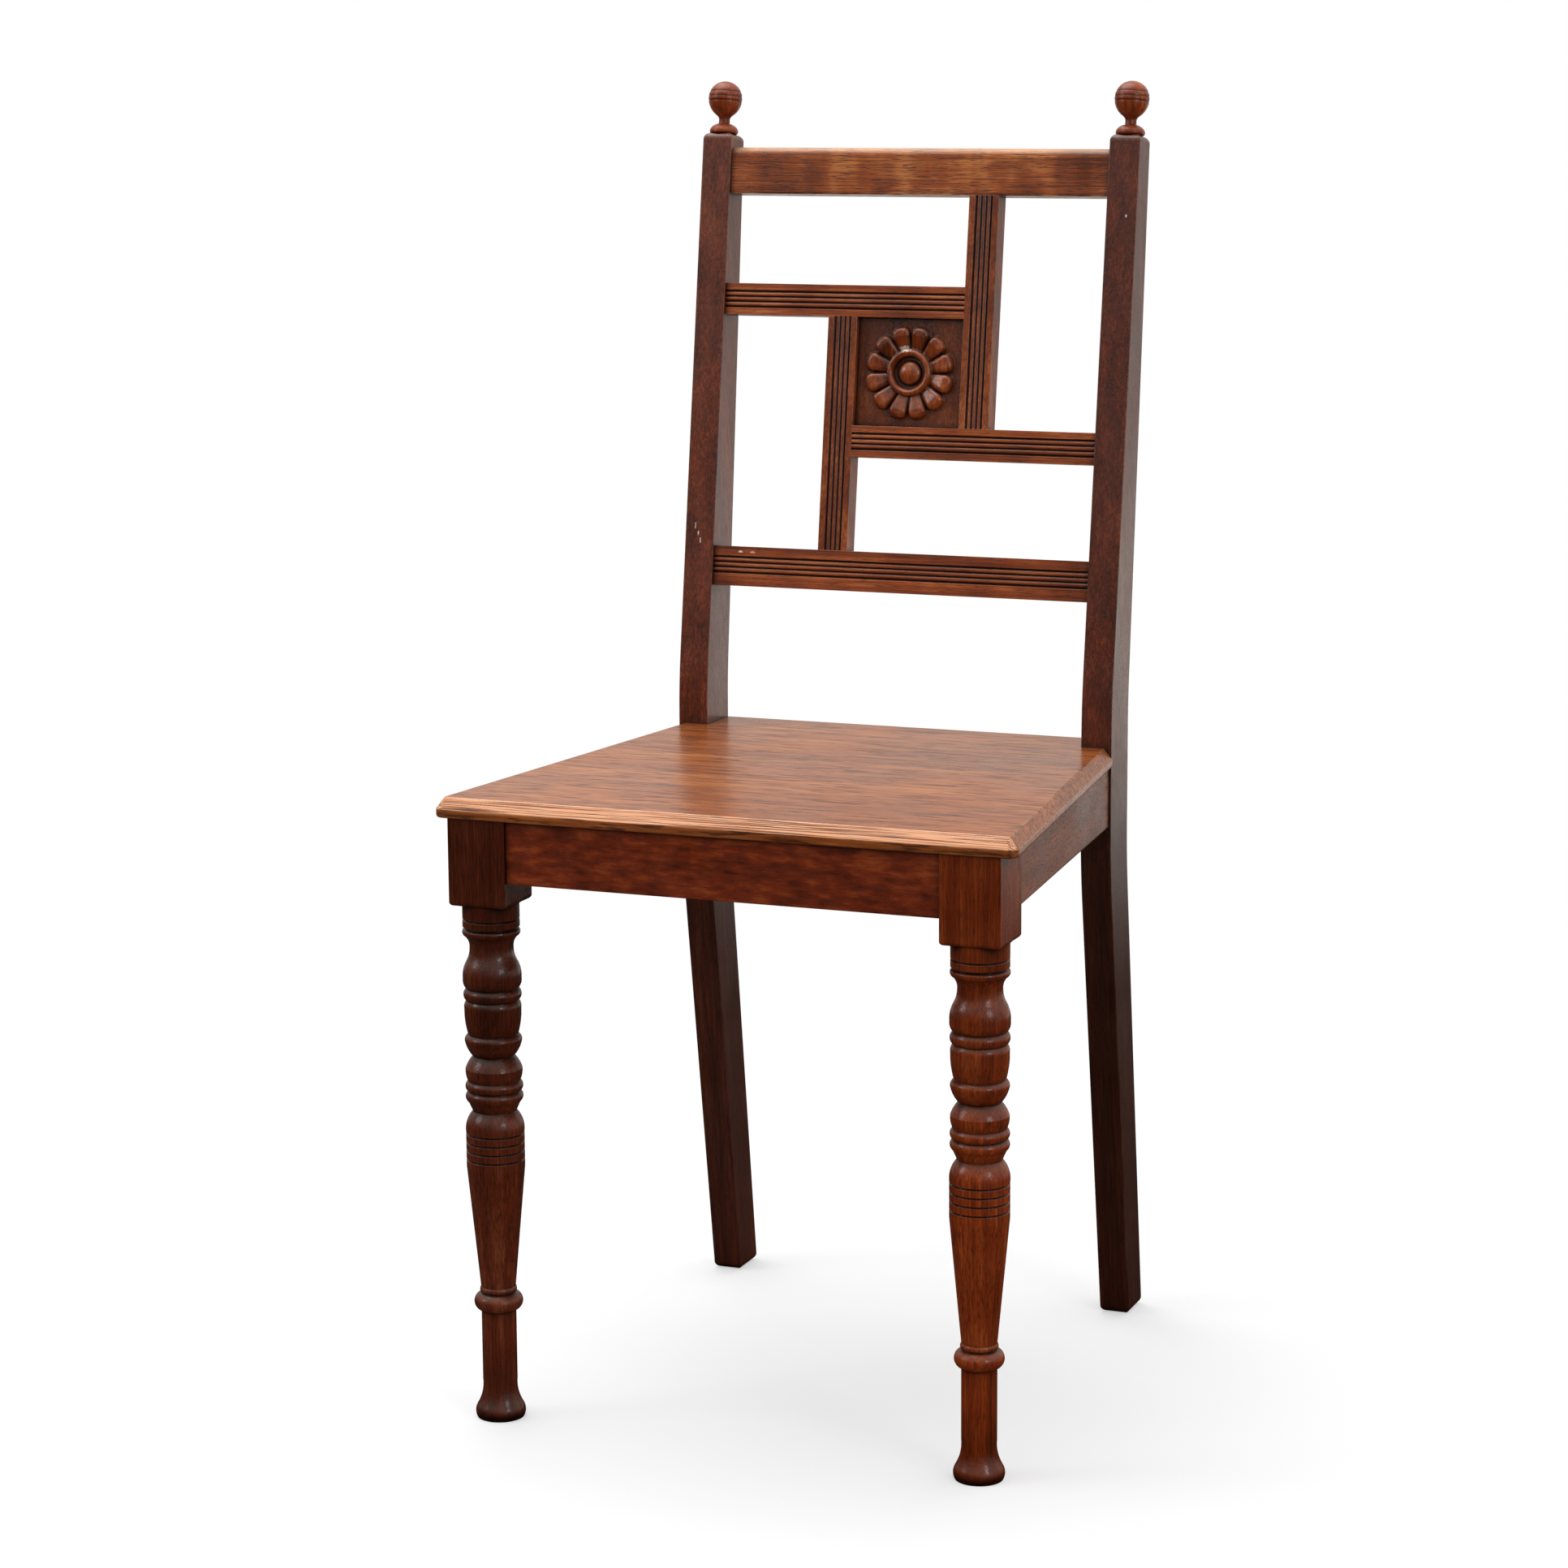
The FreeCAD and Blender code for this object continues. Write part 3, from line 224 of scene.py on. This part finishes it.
# Half sizes of marks in m, deep enough to meet the face.
SCRATCH = (0.0006, 0.02, 0.0024)
NICK = (0.0008, 0.02, 0.0012)
SCRATCHES = {
    "left": [scuff((-0.1642, 0.1417, 0.5992), SCRATCH, "#d8c8be"),
             scuff((-0.1617, 0.1409, 0.5941), SCRATCH, "#d8c8be"),
             scuff((-0.1599, 0.1402, 0.5888), SCRATCH, "#d8c8be")],
    "right": [scuff((0.1640, 0.1756, 0.8347), NICK, "#d8c0b0")],
}
for order, (side, tones) in enumerate(POST_TONES.items()):
    paint(nodes[f"rear_post_{side}"], timber(
        f"varnished oak post {side}", "z", tones, lean=-BACK_RAKE, shift=3.1 * order,
        figure=(0.4, 0.55, 0.05), worn="#9a6244", coat=0.4, marks=SCRATCHES[side],
        # Painted shade on the posts below the seat.
        darkened=[darker(start=0.44, end=0.39, most=0.5)]))


# Crest rail: a plain oak board with a rounded top edge, tenoned between the posts.
# Its varnish is a middle brown, with paler upright patches where the saw met the rays of the wood.
# The top edge is rubbed pale, and its pale is partly a painted highlight; the faces that look up carry a
# painted highlight in patches.

CREST_TONES = ("#5e290e", "#9a4c1e", "#c67c40")
# Upward part of the normal, and noise levels, between which a lying layer goes from thin to full.
LYING_SPAN = (0.3, 0.8)
PATCH_SPAN = (0.35, 0.65)
THIN_PATCH = 0.5


def lying(most, tone):
    """A pale layer on faces that look up, in patches: dust on the legs, a painted highlight on the crest."""
    def lay(tree, wood):
        upward = add(tree, "SeparateXYZ", [wood["normal"]])["Z"]
        upward = add(tree, "MapRange", [upward, *LYING_SPAN])[0]
        patches = add(tree, "MapRange", [wood["blotch"], *PATCH_SPAN, THIN_PATCH, 1.0])[0]
        share = add(tree, "Math", [upward, patches], operation="MULTIPLY")[0]
        return add(tree, "Math", [share, most], operation="MULTIPLY")[0], linear(tone)
    return lay


# The very pale worn colour of the edges is partly a painted highlight, and the pale layer on the upward faces
# is a painted highlight.
paint(nodes["crest_rail"], timber(
    "varnished oak crest", "x", CREST_TONES, lean=-BACK_RAKE, shift=7.3, figure=(0.1, 0.5, 0.4), fleck=0.13,
    blotch_mm=34, pores=0.8, worn="#f2d0ac", wear=1.0, round_mm=2.2, roughness=0.3, coat=0.2,
    marks=[lying(most=0.5, tone="#dcaa78")]))


# Cross rails and muntins: the pinwheel of the back, of varnished oak with reeds run along each front.
# They are tenoned into the posts and into each other. The grooves are darkened with painted shade, and
# the reeds are rubbed; the muntins are a little darker, and the lower rail has two pale chips.

REEDED = {"upper_cross_rail": "x", "middle_cross_rail": "x", "lower_cross_rail": "x",
          "left_muntin": "z", "right_muntin": "z"}
REED_TONES = {"x": ("#4e1e0b", "#964617", "#c87238"), "z": ("#481b0a", "#873e14", "#b66632")}
POST_FRONT = 124.5
KNEE = 480.0
RAIL_FRONT = 3.0
# Depth behind the front of the reeds where the painted shade starts and is full, in m, and its most.
GROOVE_SHADE = (0.00005, 0.0006)
GROOVE_MOST = 0.9
# Backward part of the normal between which a face comes to count as looking forwards.
FORWARD_SPAN = (-0.1, -0.3)
CHIP = (0.0022, 0.02, 0.0009)
CHIPS = {"lower_cross_rail": [scuff((-0.1276, 0.1431, 0.5813), CHIP, "#ecdccc"),
                              scuff((-0.1177, 0.1431, 0.5811), CHIP, "#d8b498")]}


def groove_shade(tree, wood):
    """Painted shade by depth behind the front of the reeds, on faces that look forwards."""
    inward = [0, math.cos(BACK_RAKE), -math.sin(BACK_RAKE)]
    front = (POST_FRONT * inward[1] + KNEE * inward[2] + RAIL_FRONT) / 1000
    depth = add(tree, "VectorMath", [wood["place"], inward], operation="DOT_PRODUCT")["Value"]
    sunk = add(tree, "MapRange", [depth, *[front + step for step in GROOVE_SHADE]])[0]
    forward = add(tree, "VectorMath", [wood["normal"], inward], operation="DOT_PRODUCT")["Value"]
    forward = add(tree, "MapRange", [forward, *FORWARD_SPAN])[0]
    share = add(tree, "Math", [sunk, forward], operation="MULTIPLY")[0]
    return add(tree, "Math", [share, GROOVE_MOST], operation="MULTIPLY")[0], wood["dark"]


for order, (name, grain) in enumerate(REEDED.items()):
    paint(nodes[name], timber(
        f"varnished oak {name.replace('_', ' ')}", grain, REED_TONES[grain], lean=-BACK_RAKE,
        shift=1.7 * order, worn="#cc8c5e", round_mm=0.7, crease_mm=5, crease_shade=1.0, marks=CHIPS.get(name, ()),
        # Painted shade in the grooves between the reeds.
        darkened=[groove_shade]))


# Carved panel: a square of varnished oak let into grooves of the pinwheel, its rosette cut in relief.
# Twelve petals stand round a raised ring, with a domed button in its dish.
# The high parts shine, the ground and the cuts are darkened with painted shade, and the ring has a pale chip
# on top that is also a painted highlight.

PANEL_TONES = ("#4c1e08", "#883d15", "#b2622a")
# Sizes in mm, in the back's own frame.
PANEL_MIDDLE = 241.0
PANEL_HALF = (41.8, 40.3)
PANEL_GROUND = 9.0
PANEL_BACK = 18.0
PETALS = 12
PETAL_OUT = 35.2
PETAL_SLIT = 0.15
PETAL_BOW = 2.2
PETAL_CORNER = 5.0
PETAL_ROUND = 3.8
PETAL_HEIGHT = 5.2
# A petal has this share of its height at this radius, is full so far outside it, and is never lower.
PETAL_LOW = 0.45
PETAL_LOW_AT = 18
PETAL_RUN = 10
PETAL_LEAST = 0.4
RING_MIDDLE = 15.0
RING_HALF = 2.9
RING_FOOT = 1.2
RING_RISE = 4.6
BUTTON = 9.4
BUTTON_RISE = 5.4
DISH = -0.6
RAISED_FULL = 5
SHARP_EDGE = math.radians(70)


def tip(x, y, w):
    """Turn mm in the upright back frame into m in the chair, leaning by the rake about the knee line."""
    rise, run = math.cos(BACK_RAKE), math.sin(BACK_RAKE)
    return np.stack([x, POST_FRONT + y * rise + w * run, KNEE + w * rise - y * run], axis=-1) / 1000


def carving(x, z):
    """Height of the carving over its ground: quarter-round petals, half-round ring, domed button.

    A petal is the sector between two slits, with a bowed end and round corners. Its height is a quarter
    circle of the distance in from its nearest edge, less towards the ring.
    """
    r = np.hypot(x, z)
    pitch = 2 * np.pi / PETALS
    aside = np.abs((np.arctan2(x, z) % pitch) - pitch / 2)
    side = r * np.sin(np.clip(pitch / 2 - aside, 0, None)) - PETAL_SLIT
    end = PETAL_OUT - r - PETAL_BOW * (aside / (pitch / 2)) ** 2
    lost = np.hypot(np.clip(PETAL_CORNER - side, 0, None), np.clip(PETAL_CORNER - end, 0, None))
    cornered = (side < PETAL_CORNER) & (end < PETAL_CORNER)
    inner = np.where(cornered, PETAL_CORNER - lost, np.minimum(side, end))
    reach = np.clip(inner / PETAL_ROUND, 0, 1)
    outward = np.clip(PETAL_LOW + (1 - PETAL_LOW) * (r - PETAL_LOW_AT) / PETAL_RUN, PETAL_LEAST, 1)
    petal = PETAL_HEIGHT * np.sqrt(np.clip(1 - (1 - reach) ** 2, 0, 1)) * outward
    ring = RING_FOOT + RING_RISE * np.sqrt(np.clip(1 - ((r - RING_MIDDLE) / RING_HALF) ** 2, 0, 1))
    dome = DISH + BUTTON_RISE * np.sqrt(np.clip(1 - (r / BUTTON) ** 2, 0, 1))
    height = np.where(r > RING_MIDDLE, petal, DISH)
    height = np.where(r < BUTTON, dome, height)
    return np.where(np.abs(r - RING_MIDDLE) < RING_HALF, ring, height)


def mesh_piece(name, points, faces, raised):
    """Make an object of points in m and faces, smooth but for sharp edges, with how raised each point is."""
    mesh = bpy.data.meshes.new(name)
    mesh.from_pydata(points.tolist(), [], faces)
    mesh.polygons.foreach_set("use_smooth", np.full(len(mesh.polygons), True))
    mesh.set_sharp_from_angle(angle=SHARP_EDGE)
    mesh.attributes.new("raised", "FLOAT", "POINT").data.foreach_set("value", raised)
    mesh.update()
    piece = bpy.data.objects.new(name, mesh)
    bpy.context.scene.collection.objects.link(piece)
    return piece


def grid_faces(rows, columns, wrap=False):
    """Quads of a grid of points laid row by row; wrap joins the last column to the first."""
    r = np.arange(rows - 1)[:, None] * columns
    c = np.arange(columns if wrap else columns - 1)[None, :]
    after = (c + 1) % columns
    return np.stack([r + c, r + after, r + columns + after, r + columns + c], -1).reshape(-1, 4)


def carved_panel(count=261):
    """A heightfield over the panel's face, closed by four sides and a flat back."""
    x, z = np.meshgrid(*[np.linspace(-half, half, count) for half in PANEL_HALF])
    height = carving(x, z)
    front = tip(x, PANEL_GROUND - height, PANEL_MIDDLE + z).reshape(-1, 3)
    behind = tip(x, np.full_like(x, PANEL_BACK), PANEL_MIDDLE + z).reshape(-1, 3)
    index = np.arange(count * count).reshape(count, count)
    rim = np.concatenate([index[0, :-1], index[:-1, -1], index[-1, :0:-1], index[:0:-1, 0]])
    back_rim = np.arange(len(rim)) + count * count
    after = np.roll(np.arange(len(rim)), -1)
    sides = np.stack([rim, back_rim, back_rim[after], rim[after]], -1)
    faces = grid_faces(count, count).tolist() + sides.tolist() + [back_rim[::-1].tolist()]
    raised = np.concatenate([np.clip(height / RAISED_FULL, 0, 1).ravel(), np.zeros(len(rim))])
    return mesh_piece("rosette_panel", np.concatenate([front, behind[rim]]), faces, raised)


def cut_shade(clear, most):
    """Painted shade in what is cut below the raised parts, ending where the raised value is clear."""
    def lay(tree, wood):
        raised = add(tree, "Attribute", attribute_name="raised")["Fac"]
        return add(tree, "MapRange", [raised, 0.0, clear, most, 0.0])[0], wood["dark"]
    return lay


panel = carved_panel()
# A pale spot on top of the ring: a chip, and a painted highlight.
RING_CHIP_AND_HIGHLIGHT = scuff(tip(-3.8, 4.5, PANEL_MIDDLE + 17.6).tolist(), (0.0055, 0.008, 0.0022), "#f0e2d8")
paint(panel, timber(
    "varnished oak carving", "z", PANEL_TONES, lean=-BACK_RAKE, shift=4.4, pores=0.3, worn="#b88058",
    crease_mm=5, crease_shade=1.0, roughness=0.2, coat=0.4, marks=[RING_CHIP_AND_HIGHLIGHT],
    # Painted shade on the ground and in the cuts of the carving.
    darkened=[cut_shade(clear=0.4, most=0.45)]))
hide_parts("carved_panel")
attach(panel, "root")


# Finials: oak balls turned in one with flare, neck, collar and spigot, set in the tops of the posts.
# The varnish is an even red-brown. Three fine lines are scored round each ball and are darkened with painted
# shade.

FINIAL_TONES = ("#4a1c08", "#883811", "#b05c24")
# Sizes in mm over the top of the post, and angles in degrees over the ball's middle.
FINIAL_X = 160.5
FINIAL_Y = 12.0
POST_TOP = 418.0
POLE = 0.01
SPIGOT = 4.5
SPIGOT_FOOT = -16.0
SEATED = 0.02
COLLAR = 10.8
COLLAR_SWELL = ((COLLAR - 0.8, SEATED), (COLLAR - 0.2, 0.6))
COLLAR_MIDDLE = 1.6
COLLAR_RISE = 6.6
COLLAR_SWEEP = 67
COLLAR_ROWS = 14
NECK = 4.1
NECK_TOP = 10.3
FLARE_RISE = 3.6
FLARE_SPREAD = 0.125
FLARE_POWER = 2.2
FLARE_ROWS = 12
BALL = 12.75
BALL_DROP = 14.6
BALL_MIDDLE = 26.75
BALL_SWEEP = (-59, 89.9)
BALL_ROWS = 180
SCORED = (-8, 6, 23)
SCORE_HALF = 3.0
SCORE_DEPTH = 0.25


def finial_profile():
    """Radius and height from the spigot's foot to the top of the ball, and how little each row is scored.

    The collar is part of an ellipse. The flare widens by a power of its height. The ball is a half circle
    over a deeper half ellipse, less a bell-shaped dip at each scored line.
    """
    stem = np.array([(POLE, SPIGOT_FOOT), (SPIGOT, SPIGOT_FOOT), (SPIGOT, SEATED), *COLLAR_SWELL])
    turn = np.radians(np.linspace(0, COLLAR_SWEEP, COLLAR_ROWS))
    collar = np.stack([COLLAR * np.cos(turn), COLLAR_MIDDLE + COLLAR_RISE * np.sin(turn)], -1)
    rise = np.linspace(0, FLARE_RISE, FLARE_ROWS)
    flare = np.stack([NECK + FLARE_SPREAD * rise ** FLARE_POWER, NECK_TOP + rise], -1)
    turn = np.radians(np.linspace(*BALL_SWEEP, BALL_ROWS))
    dips = np.exp(-((np.degrees(turn) - np.array(SCORED)[:, None]) / SCORE_HALF) ** 2).sum(0)
    tall = np.where(turn < 0, BALL_DROP, BALL)
    ball = np.stack([(BALL - SCORE_DEPTH * dips) * np.cos(turn),
                     BALL_MIDDLE + (tall - SCORE_DEPTH * dips) * np.sin(turn)], -1)
    profile = np.concatenate([stem, collar, flare, ball])
    return profile, np.concatenate([np.ones(len(profile) - len(ball)), 1 - dips])


def turning(name, profile, raised, place, count=72):
    """Spin a profile of radius and height round an upright axis; place turns it into chair metres."""
    angle = np.linspace(0, 2 * np.pi, count, endpoint=False)
    x = profile[:, :1] * np.cos(angle)
    y = profile[:, :1] * np.sin(angle)
    z = np.repeat(profile[:, 1:], count, axis=1)
    last = (len(profile) - 1) * count
    caps = [list(range(count))[::-1], list(range(last, last + count))]
    faces = grid_faces(len(profile), count, wrap=True).tolist() + caps
    return mesh_piece(name, place(x, y, z).reshape(-1, 3), faces, np.repeat(raised, count))


for side, sign in (("left", -1), ("right", 1)):
    finial = turning(f"turned_finial_{side}", *finial_profile(),
                     lambda x, y, z: tip(sign * FINIAL_X + x, FINIAL_Y + y, POST_TOP + z))
    paint(finial, timber(
        f"varnished oak finial {side}", "z", FINIAL_TONES, lean=-BACK_RAKE, shift=2.2 * sign, pores=0.1,
        open_grain=0.02, wear=0.0, crease_shade=0.9, roughness=0.28, shine=0.4, coat=0.0,
        # Painted shade in the scored lines and in the creases of the turning.
        darkened=[cut_shade(clear=0.9, most=0.9)]))
    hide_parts(f"finial_{side}")
    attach(finial, "root")


# Front legs: square oak blocks over turnings of beads, cups, vase and taper, in one piece each.
# Varnished, the left one darker and both darker towards the feet; painted shade darkens the necks, the scored
# lines and the upper part under the seat, and dust lies on the shoulders.
# The blocks take the dowels of the seat rails.

LEG_TONES = {"left": ("#371509", "#642913", "#844324"), "right": ("#481a06", "#88350e", "#ae541c")}

for order, (side, tones) in enumerate(LEG_TONES.items()):
    paint(nodes[f"front_leg_{side}"], timber(
        f"varnished oak leg {side}", "z", tones, shift=5.0 + 3.2 * order, worn="#9c6038", wear=0.35,
        round_mm=0.6, crease_mm=9, crease_open=0.68, crease_shade=1.0, roughness=0.22, shine=0.35,
        marks=[lying(most=0.18, tone="#5f4a3c")],
        # Darker towards the feet, and painted shade on the upper part of the leg under the seat.
        darkened=[darker(start=0.06, end=0.01, most=0.42), darker(start=0.22, end=0.33, most=0.34)]))


# Seat rails: four oak boards on edge, held by beech dowels in the leg blocks and the posts.
# Varnished; the front one shows short orange-red flecks and little sheen. The dowels are bare.

FRONT_RAIL_TONES = ("#4c1804", "#7a2b09", "#9c4614")
# The side rails' tones are made paler partly as a painted sheen.
SIDE_RAIL_TONES = ("#44200f", "#76391c", "#98552f")
BACK_RAIL_TONES = ("#33150c", "#56261a", "#70402c")
DOWEL_TONES = ("#a5794f", "#bf9468", "#d0aa80")

paint(nodes["front_seat_rail"], timber(
    "varnished oak front rail", "x", FRONT_RAIL_TONES, shift=9.0, figure=(0.15, 0.55, 0.3), blotch_mm=26,
    streak_mm=(5, 17), pores=0.25, roughness=0.42, shine=0.3, coat=0.0))
for side, shift in (("left", 1.1), ("right", 6.4)):
    paint(nodes[f"{side}_seat_rail"], timber(
        f"varnished oak side rail {side}", "y", SIDE_RAIL_TONES, shift=shift, roughness=0.36))
paint(nodes["back_seat_rail"], timber(
    "varnished oak back rail", "x", BACK_RAIL_TONES, shift=3.7, roughness=0.4))
paint(nodes["seat_rail_dowels"], timber(
    "bare beech dowels", "x", DOWEL_TONES, pores=0.1, roughness=0.6, coat=0.0))


# Corner blocks: bare pine, pale and matt, glued into the four corners under the seat.
# Aged steel screws hold them to the rails.

PINE_TONES = ("#8d6a44", "#b08a5a", "#c7a473")
STEEL = "#8b8782"
RUST_MM = 10 / 3
RUST_SPAN = (0.3, 0.7)
STEEL_ROUGHNESS = (0.35, 0.6)


def steel(name):
    """Aged steel: a grey metal, duller in patches."""
    material = bpy.data.materials.new(name)
    material.use_nodes = True
    tree = material.node_tree
    tree.nodes.clear()
    place = add(tree, "TexCoord")["Object"]
    patches = add(tree, "TexNoise", {"Vector": place, "Scale": 1000 / RUST_MM, "Detail": 3.0})[0]
    dull = add(tree, "MapRange", [patches, *RUST_SPAN, *STEEL_ROUGHNESS])[0]
    shader = add(tree, "BsdfPrincipled", {"Base Color": linear(STEEL), "Metallic": 1.0, "Roughness": dull})[0]
    add(tree, "OutputMaterial", [shader])
    return material


for order, corner in enumerate(("front_left", "front_right", "back_left", "back_right")):
    paint(nodes[f"corner_block_{corner}"], timber(
        f"bare pine corner block {corner.replace('_', ' ')}", "x", PINE_TONES, shift=order, pores=0.1,
        crease_shade=0.4, roughness=0.6, coat=0.0))
paint(nodes["corner_block_screws"], steel("aged steel corner block screws"))


# Seat board: one wide oak board, grain side to side, bevelled along its front and sides.
# The varnish is glossy on top, with open grain, and rubbed through to pale torn wood along the front bevel.
# Steel screws hold it down to the corner blocks.

SEAT_TONES = ("#662f0e", "#9a5320", "#ba743a")
BARE_OAK = "#f4b68c"
TORN_MM = (0.8, 80)
TORN_SPAN = (0.43, 0.55)
# Upward part of the normal: the first pair leaves out the flat top, the second the upright edge.
OFF_TOP = (0.97, 0.86)
OFF_EDGE = (0.15, 0.4)


def bare_bevel(tree, wood):
    """Bare wood on faces that slope up and forwards, in torn fibres along the grain."""
    facing = add(tree, "SeparateXYZ", [wood["normal"]])
    off_top = add(tree, "MapRange", [facing["Z"], *OFF_TOP])[0]
    off_edge = add(tree, "MapRange", [facing["Z"], *OFF_EDGE])[0]
    slope = add(tree, "Math", [off_top, off_edge], operation="MULTIPLY")[0]
    forward = add(tree, "MapRange", [facing["Y"], *FORWARD_SPAN])[0]
    slope = add(tree, "Math", [slope, forward], operation="MULTIPLY")[0]
    torn = fibres(tree, wood["turned"], "x", *TORN_MM, detail=3.0)
    torn = add(tree, "MapRange", [torn, *TORN_SPAN])[0]
    return add(tree, "Math", [slope, torn], operation="MULTIPLY")[0], linear(BARE_OAK)


paint(nodes["seat_board"], timber(
    "varnished oak seat", "x", SEAT_TONES, shift=0.6, figure=(0.3, 0.5, 0.2), blotch_mm=120,
    streak_mm=(2.2, 48), pore_mm=(2.3, 27), pores=0.75, worn="#d9a070", wear=1.0, round_mm=2.4, crease_shade=0.6,
    roughness=0.27, coat=0.22, marks=[bare_bevel]))
paint(nodes["seat_screws"], steel("aged steel seat screws"))


# Floor: a plain pale matt floor, white where it is far from the chair, with a soft shadow near it.
# In the varnish it is dark in front and pale behind, as in a studio with a dark front.

FLOOR_HALF = 6
FLOOR_SEEN = "#f0f6fd"
FLOOR_LIT = "#8c8680"
FLOOR_FRONT = "#2c2a28"
FLOOR_BEHIND = "#fcfaf8"
# Distances in m: behind the chair, where the mirrored floor turns pale, and round it, where it turns white.
PALE_BEHIND = (1.4, 2.7)
WHITE_REACH = (0.3, 1.5)
WHITE_SHARE = (0.45, 1.0)

scene = bpy.context.scene
floor_mesh = bpy.data.meshes.new("floor")
floor_mesh.from_pydata([(-FLOOR_HALF, -FLOOR_HALF, 0), (FLOOR_HALF, -FLOOR_HALF, 0),
                        (FLOOR_HALF, FLOOR_HALF, 0), (-FLOOR_HALF, FLOOR_HALF, 0)], [], [(0, 1, 2, 3)])
floor = bpy.data.objects.new("floor", floor_mesh)
scene.collection.objects.link(floor)
chalk = bpy.data.materials.new("pale matt floor")
chalk.use_nodes = True
tree = chalk.node_tree
tree.nodes.clear()
ray = add(tree, "LightPath")
spot = add(tree, "TexCoord")["Object"]
behind = add(tree, "MapRange", [add(tree, "SeparateXYZ", [spot])["Y"], *PALE_BEHIND])[0]
mirrored = add(tree, "Mix", {SHARE: behind, UNDER: linear(FLOOR_FRONT), OVER: linear(FLOOR_BEHIND)},
               data_type="RGBA")[MIXED]
cast = add(tree, "Mix", {SHARE: ray["Is Glossy Ray"], UNDER: linear(FLOOR_LIT), OVER: mirrored},
           data_type="RGBA")[MIXED]
shown = add(tree, "Mix", {SHARE: ray["Is Camera Ray"], UNDER: cast, OVER: linear(FLOOR_SEEN)},
            data_type="RGBA")[MIXED]
matt = add(tree, "BsdfDiffuse", {"Color": shown})[0]
glow = add(tree, "Emission", {"Color": linear("#ffffff"), "Strength": 1.0})[0]
reach = add(tree, "VectorMath", [spot], operation="LENGTH")["Value"]
white = add(tree, "MapRange", [reach, *WHITE_REACH, *WHITE_SHARE])[0]
white = add(tree, "Math", [ray["Is Camera Ray"], white], operation="MULTIPLY")[0]
pale = add(tree, "MixShader", [white, matt, glow])[0]
add(tree, "OutputMaterial", [pale])
floor.data.materials.append(chalk)


# Light: a pale, slightly warm room that is brighter above, behind and to the right, white to the camera,
# and three softboxes.

ROOM_TONE = "#fff6ee"
ROOM_LEVEL = 0.08
# Part of the direction where each side of the room starts to brighten and is full, and its level there.
ROOM_ABOVE = (0.1, 0.8, 0.0, 0.9)
ROOM_BEHIND = (-0.2, 0.8, 0.0, 0.42)
ROOM_RIGHT = (0.2, 0.9, 0.0, 0.27)

world = bpy.data.worlds.new("studio")
scene.world = world
world.use_nodes = True
tree = world.node_tree
tree.nodes.clear()
ray = add(tree, "LightPath")
look = add(tree, "SeparateXYZ", [add(tree, "TexCoord")["Generated"]])
above = add(tree, "MapRange", [look["Z"], *ROOM_ABOVE])[0]
behind = add(tree, "MapRange", [look["Y"], *ROOM_BEHIND])[0]
right = add(tree, "MapRange", [look["X"], *ROOM_RIGHT])[0]
far = add(tree, "Math", [above, behind], operation="ADD")[0]
near = add(tree, "Math", [right, ROOM_LEVEL], operation="ADD")[0]
level = add(tree, "Math", [far, near], operation="ADD")[0]
room = add(tree, "Background", {"Color": linear(ROOM_TONE), "Strength": level})[0]
white = add(tree, "Background", {"Color": linear("#ffffff"), "Strength": 1.0})[0]
seen = add(tree, "MixShader", [ray["Is Camera Ray"], room, white])[0]
add(tree, "OutputWorld", [seen])


def softbox(name, place, target, size, power):
    """A square area light that looks at a point."""
    lamp = bpy.data.lights.new(name, "AREA")
    lamp.size = size
    lamp.energy = power
    item = bpy.data.objects.new(name, lamp)
    item.location = place
    aim = mathutils.Vector(target) - mathutils.Vector(place)
    item.rotation_euler = aim.to_track_quat("-Z", "Y").to_euler()
    scene.collection.objects.link(item)


softbox("overhead softbox", (-0.6, 0.2, 2.6), (0, 0, 0.4), size=1.8, power=30)
softbox("front left softbox", (-2.6, -1.6, 2.0), (0, 0, 0.5), size=1.2, power=18)
softbox("right softbox", (2.2, -1.4, 1.3), (0, 0, 0.5), size=0.7, power=10)


# Camera: a long lens in front of the chair and to its right, a little higher than the crest rail,
# so that the seat is seen at a low angle.

CAMERA_PLACE = (1.02880, -2.66217, 0.97066)
CAMERA_AZIMUTH = 21.81
CAMERA_PITCH = 10.625
CAMERA_ROLL = -0.388
LENS_MM = 92.52

camera_data = bpy.data.cameras.new("camera")
camera_data.lens = LENS_MM
camera_data.sensor_width = 36.0
camera = bpy.data.objects.new("camera", camera_data)
camera.location = CAMERA_PLACE
swing = mathutils.Matrix.Rotation(math.radians(CAMERA_AZIMUTH), 3, "Z")
pitch = mathutils.Matrix.Rotation(math.radians(90 - CAMERA_PITCH), 3, "X")
roll = mathutils.Matrix.Rotation(math.radians(CAMERA_ROLL), 3, "Z")
camera.rotation_euler = (swing @ pitch @ roll).to_euler()
scene.collection.objects.link(camera)
scene.camera = camera
scene.view_settings.view_transform = "Standard"
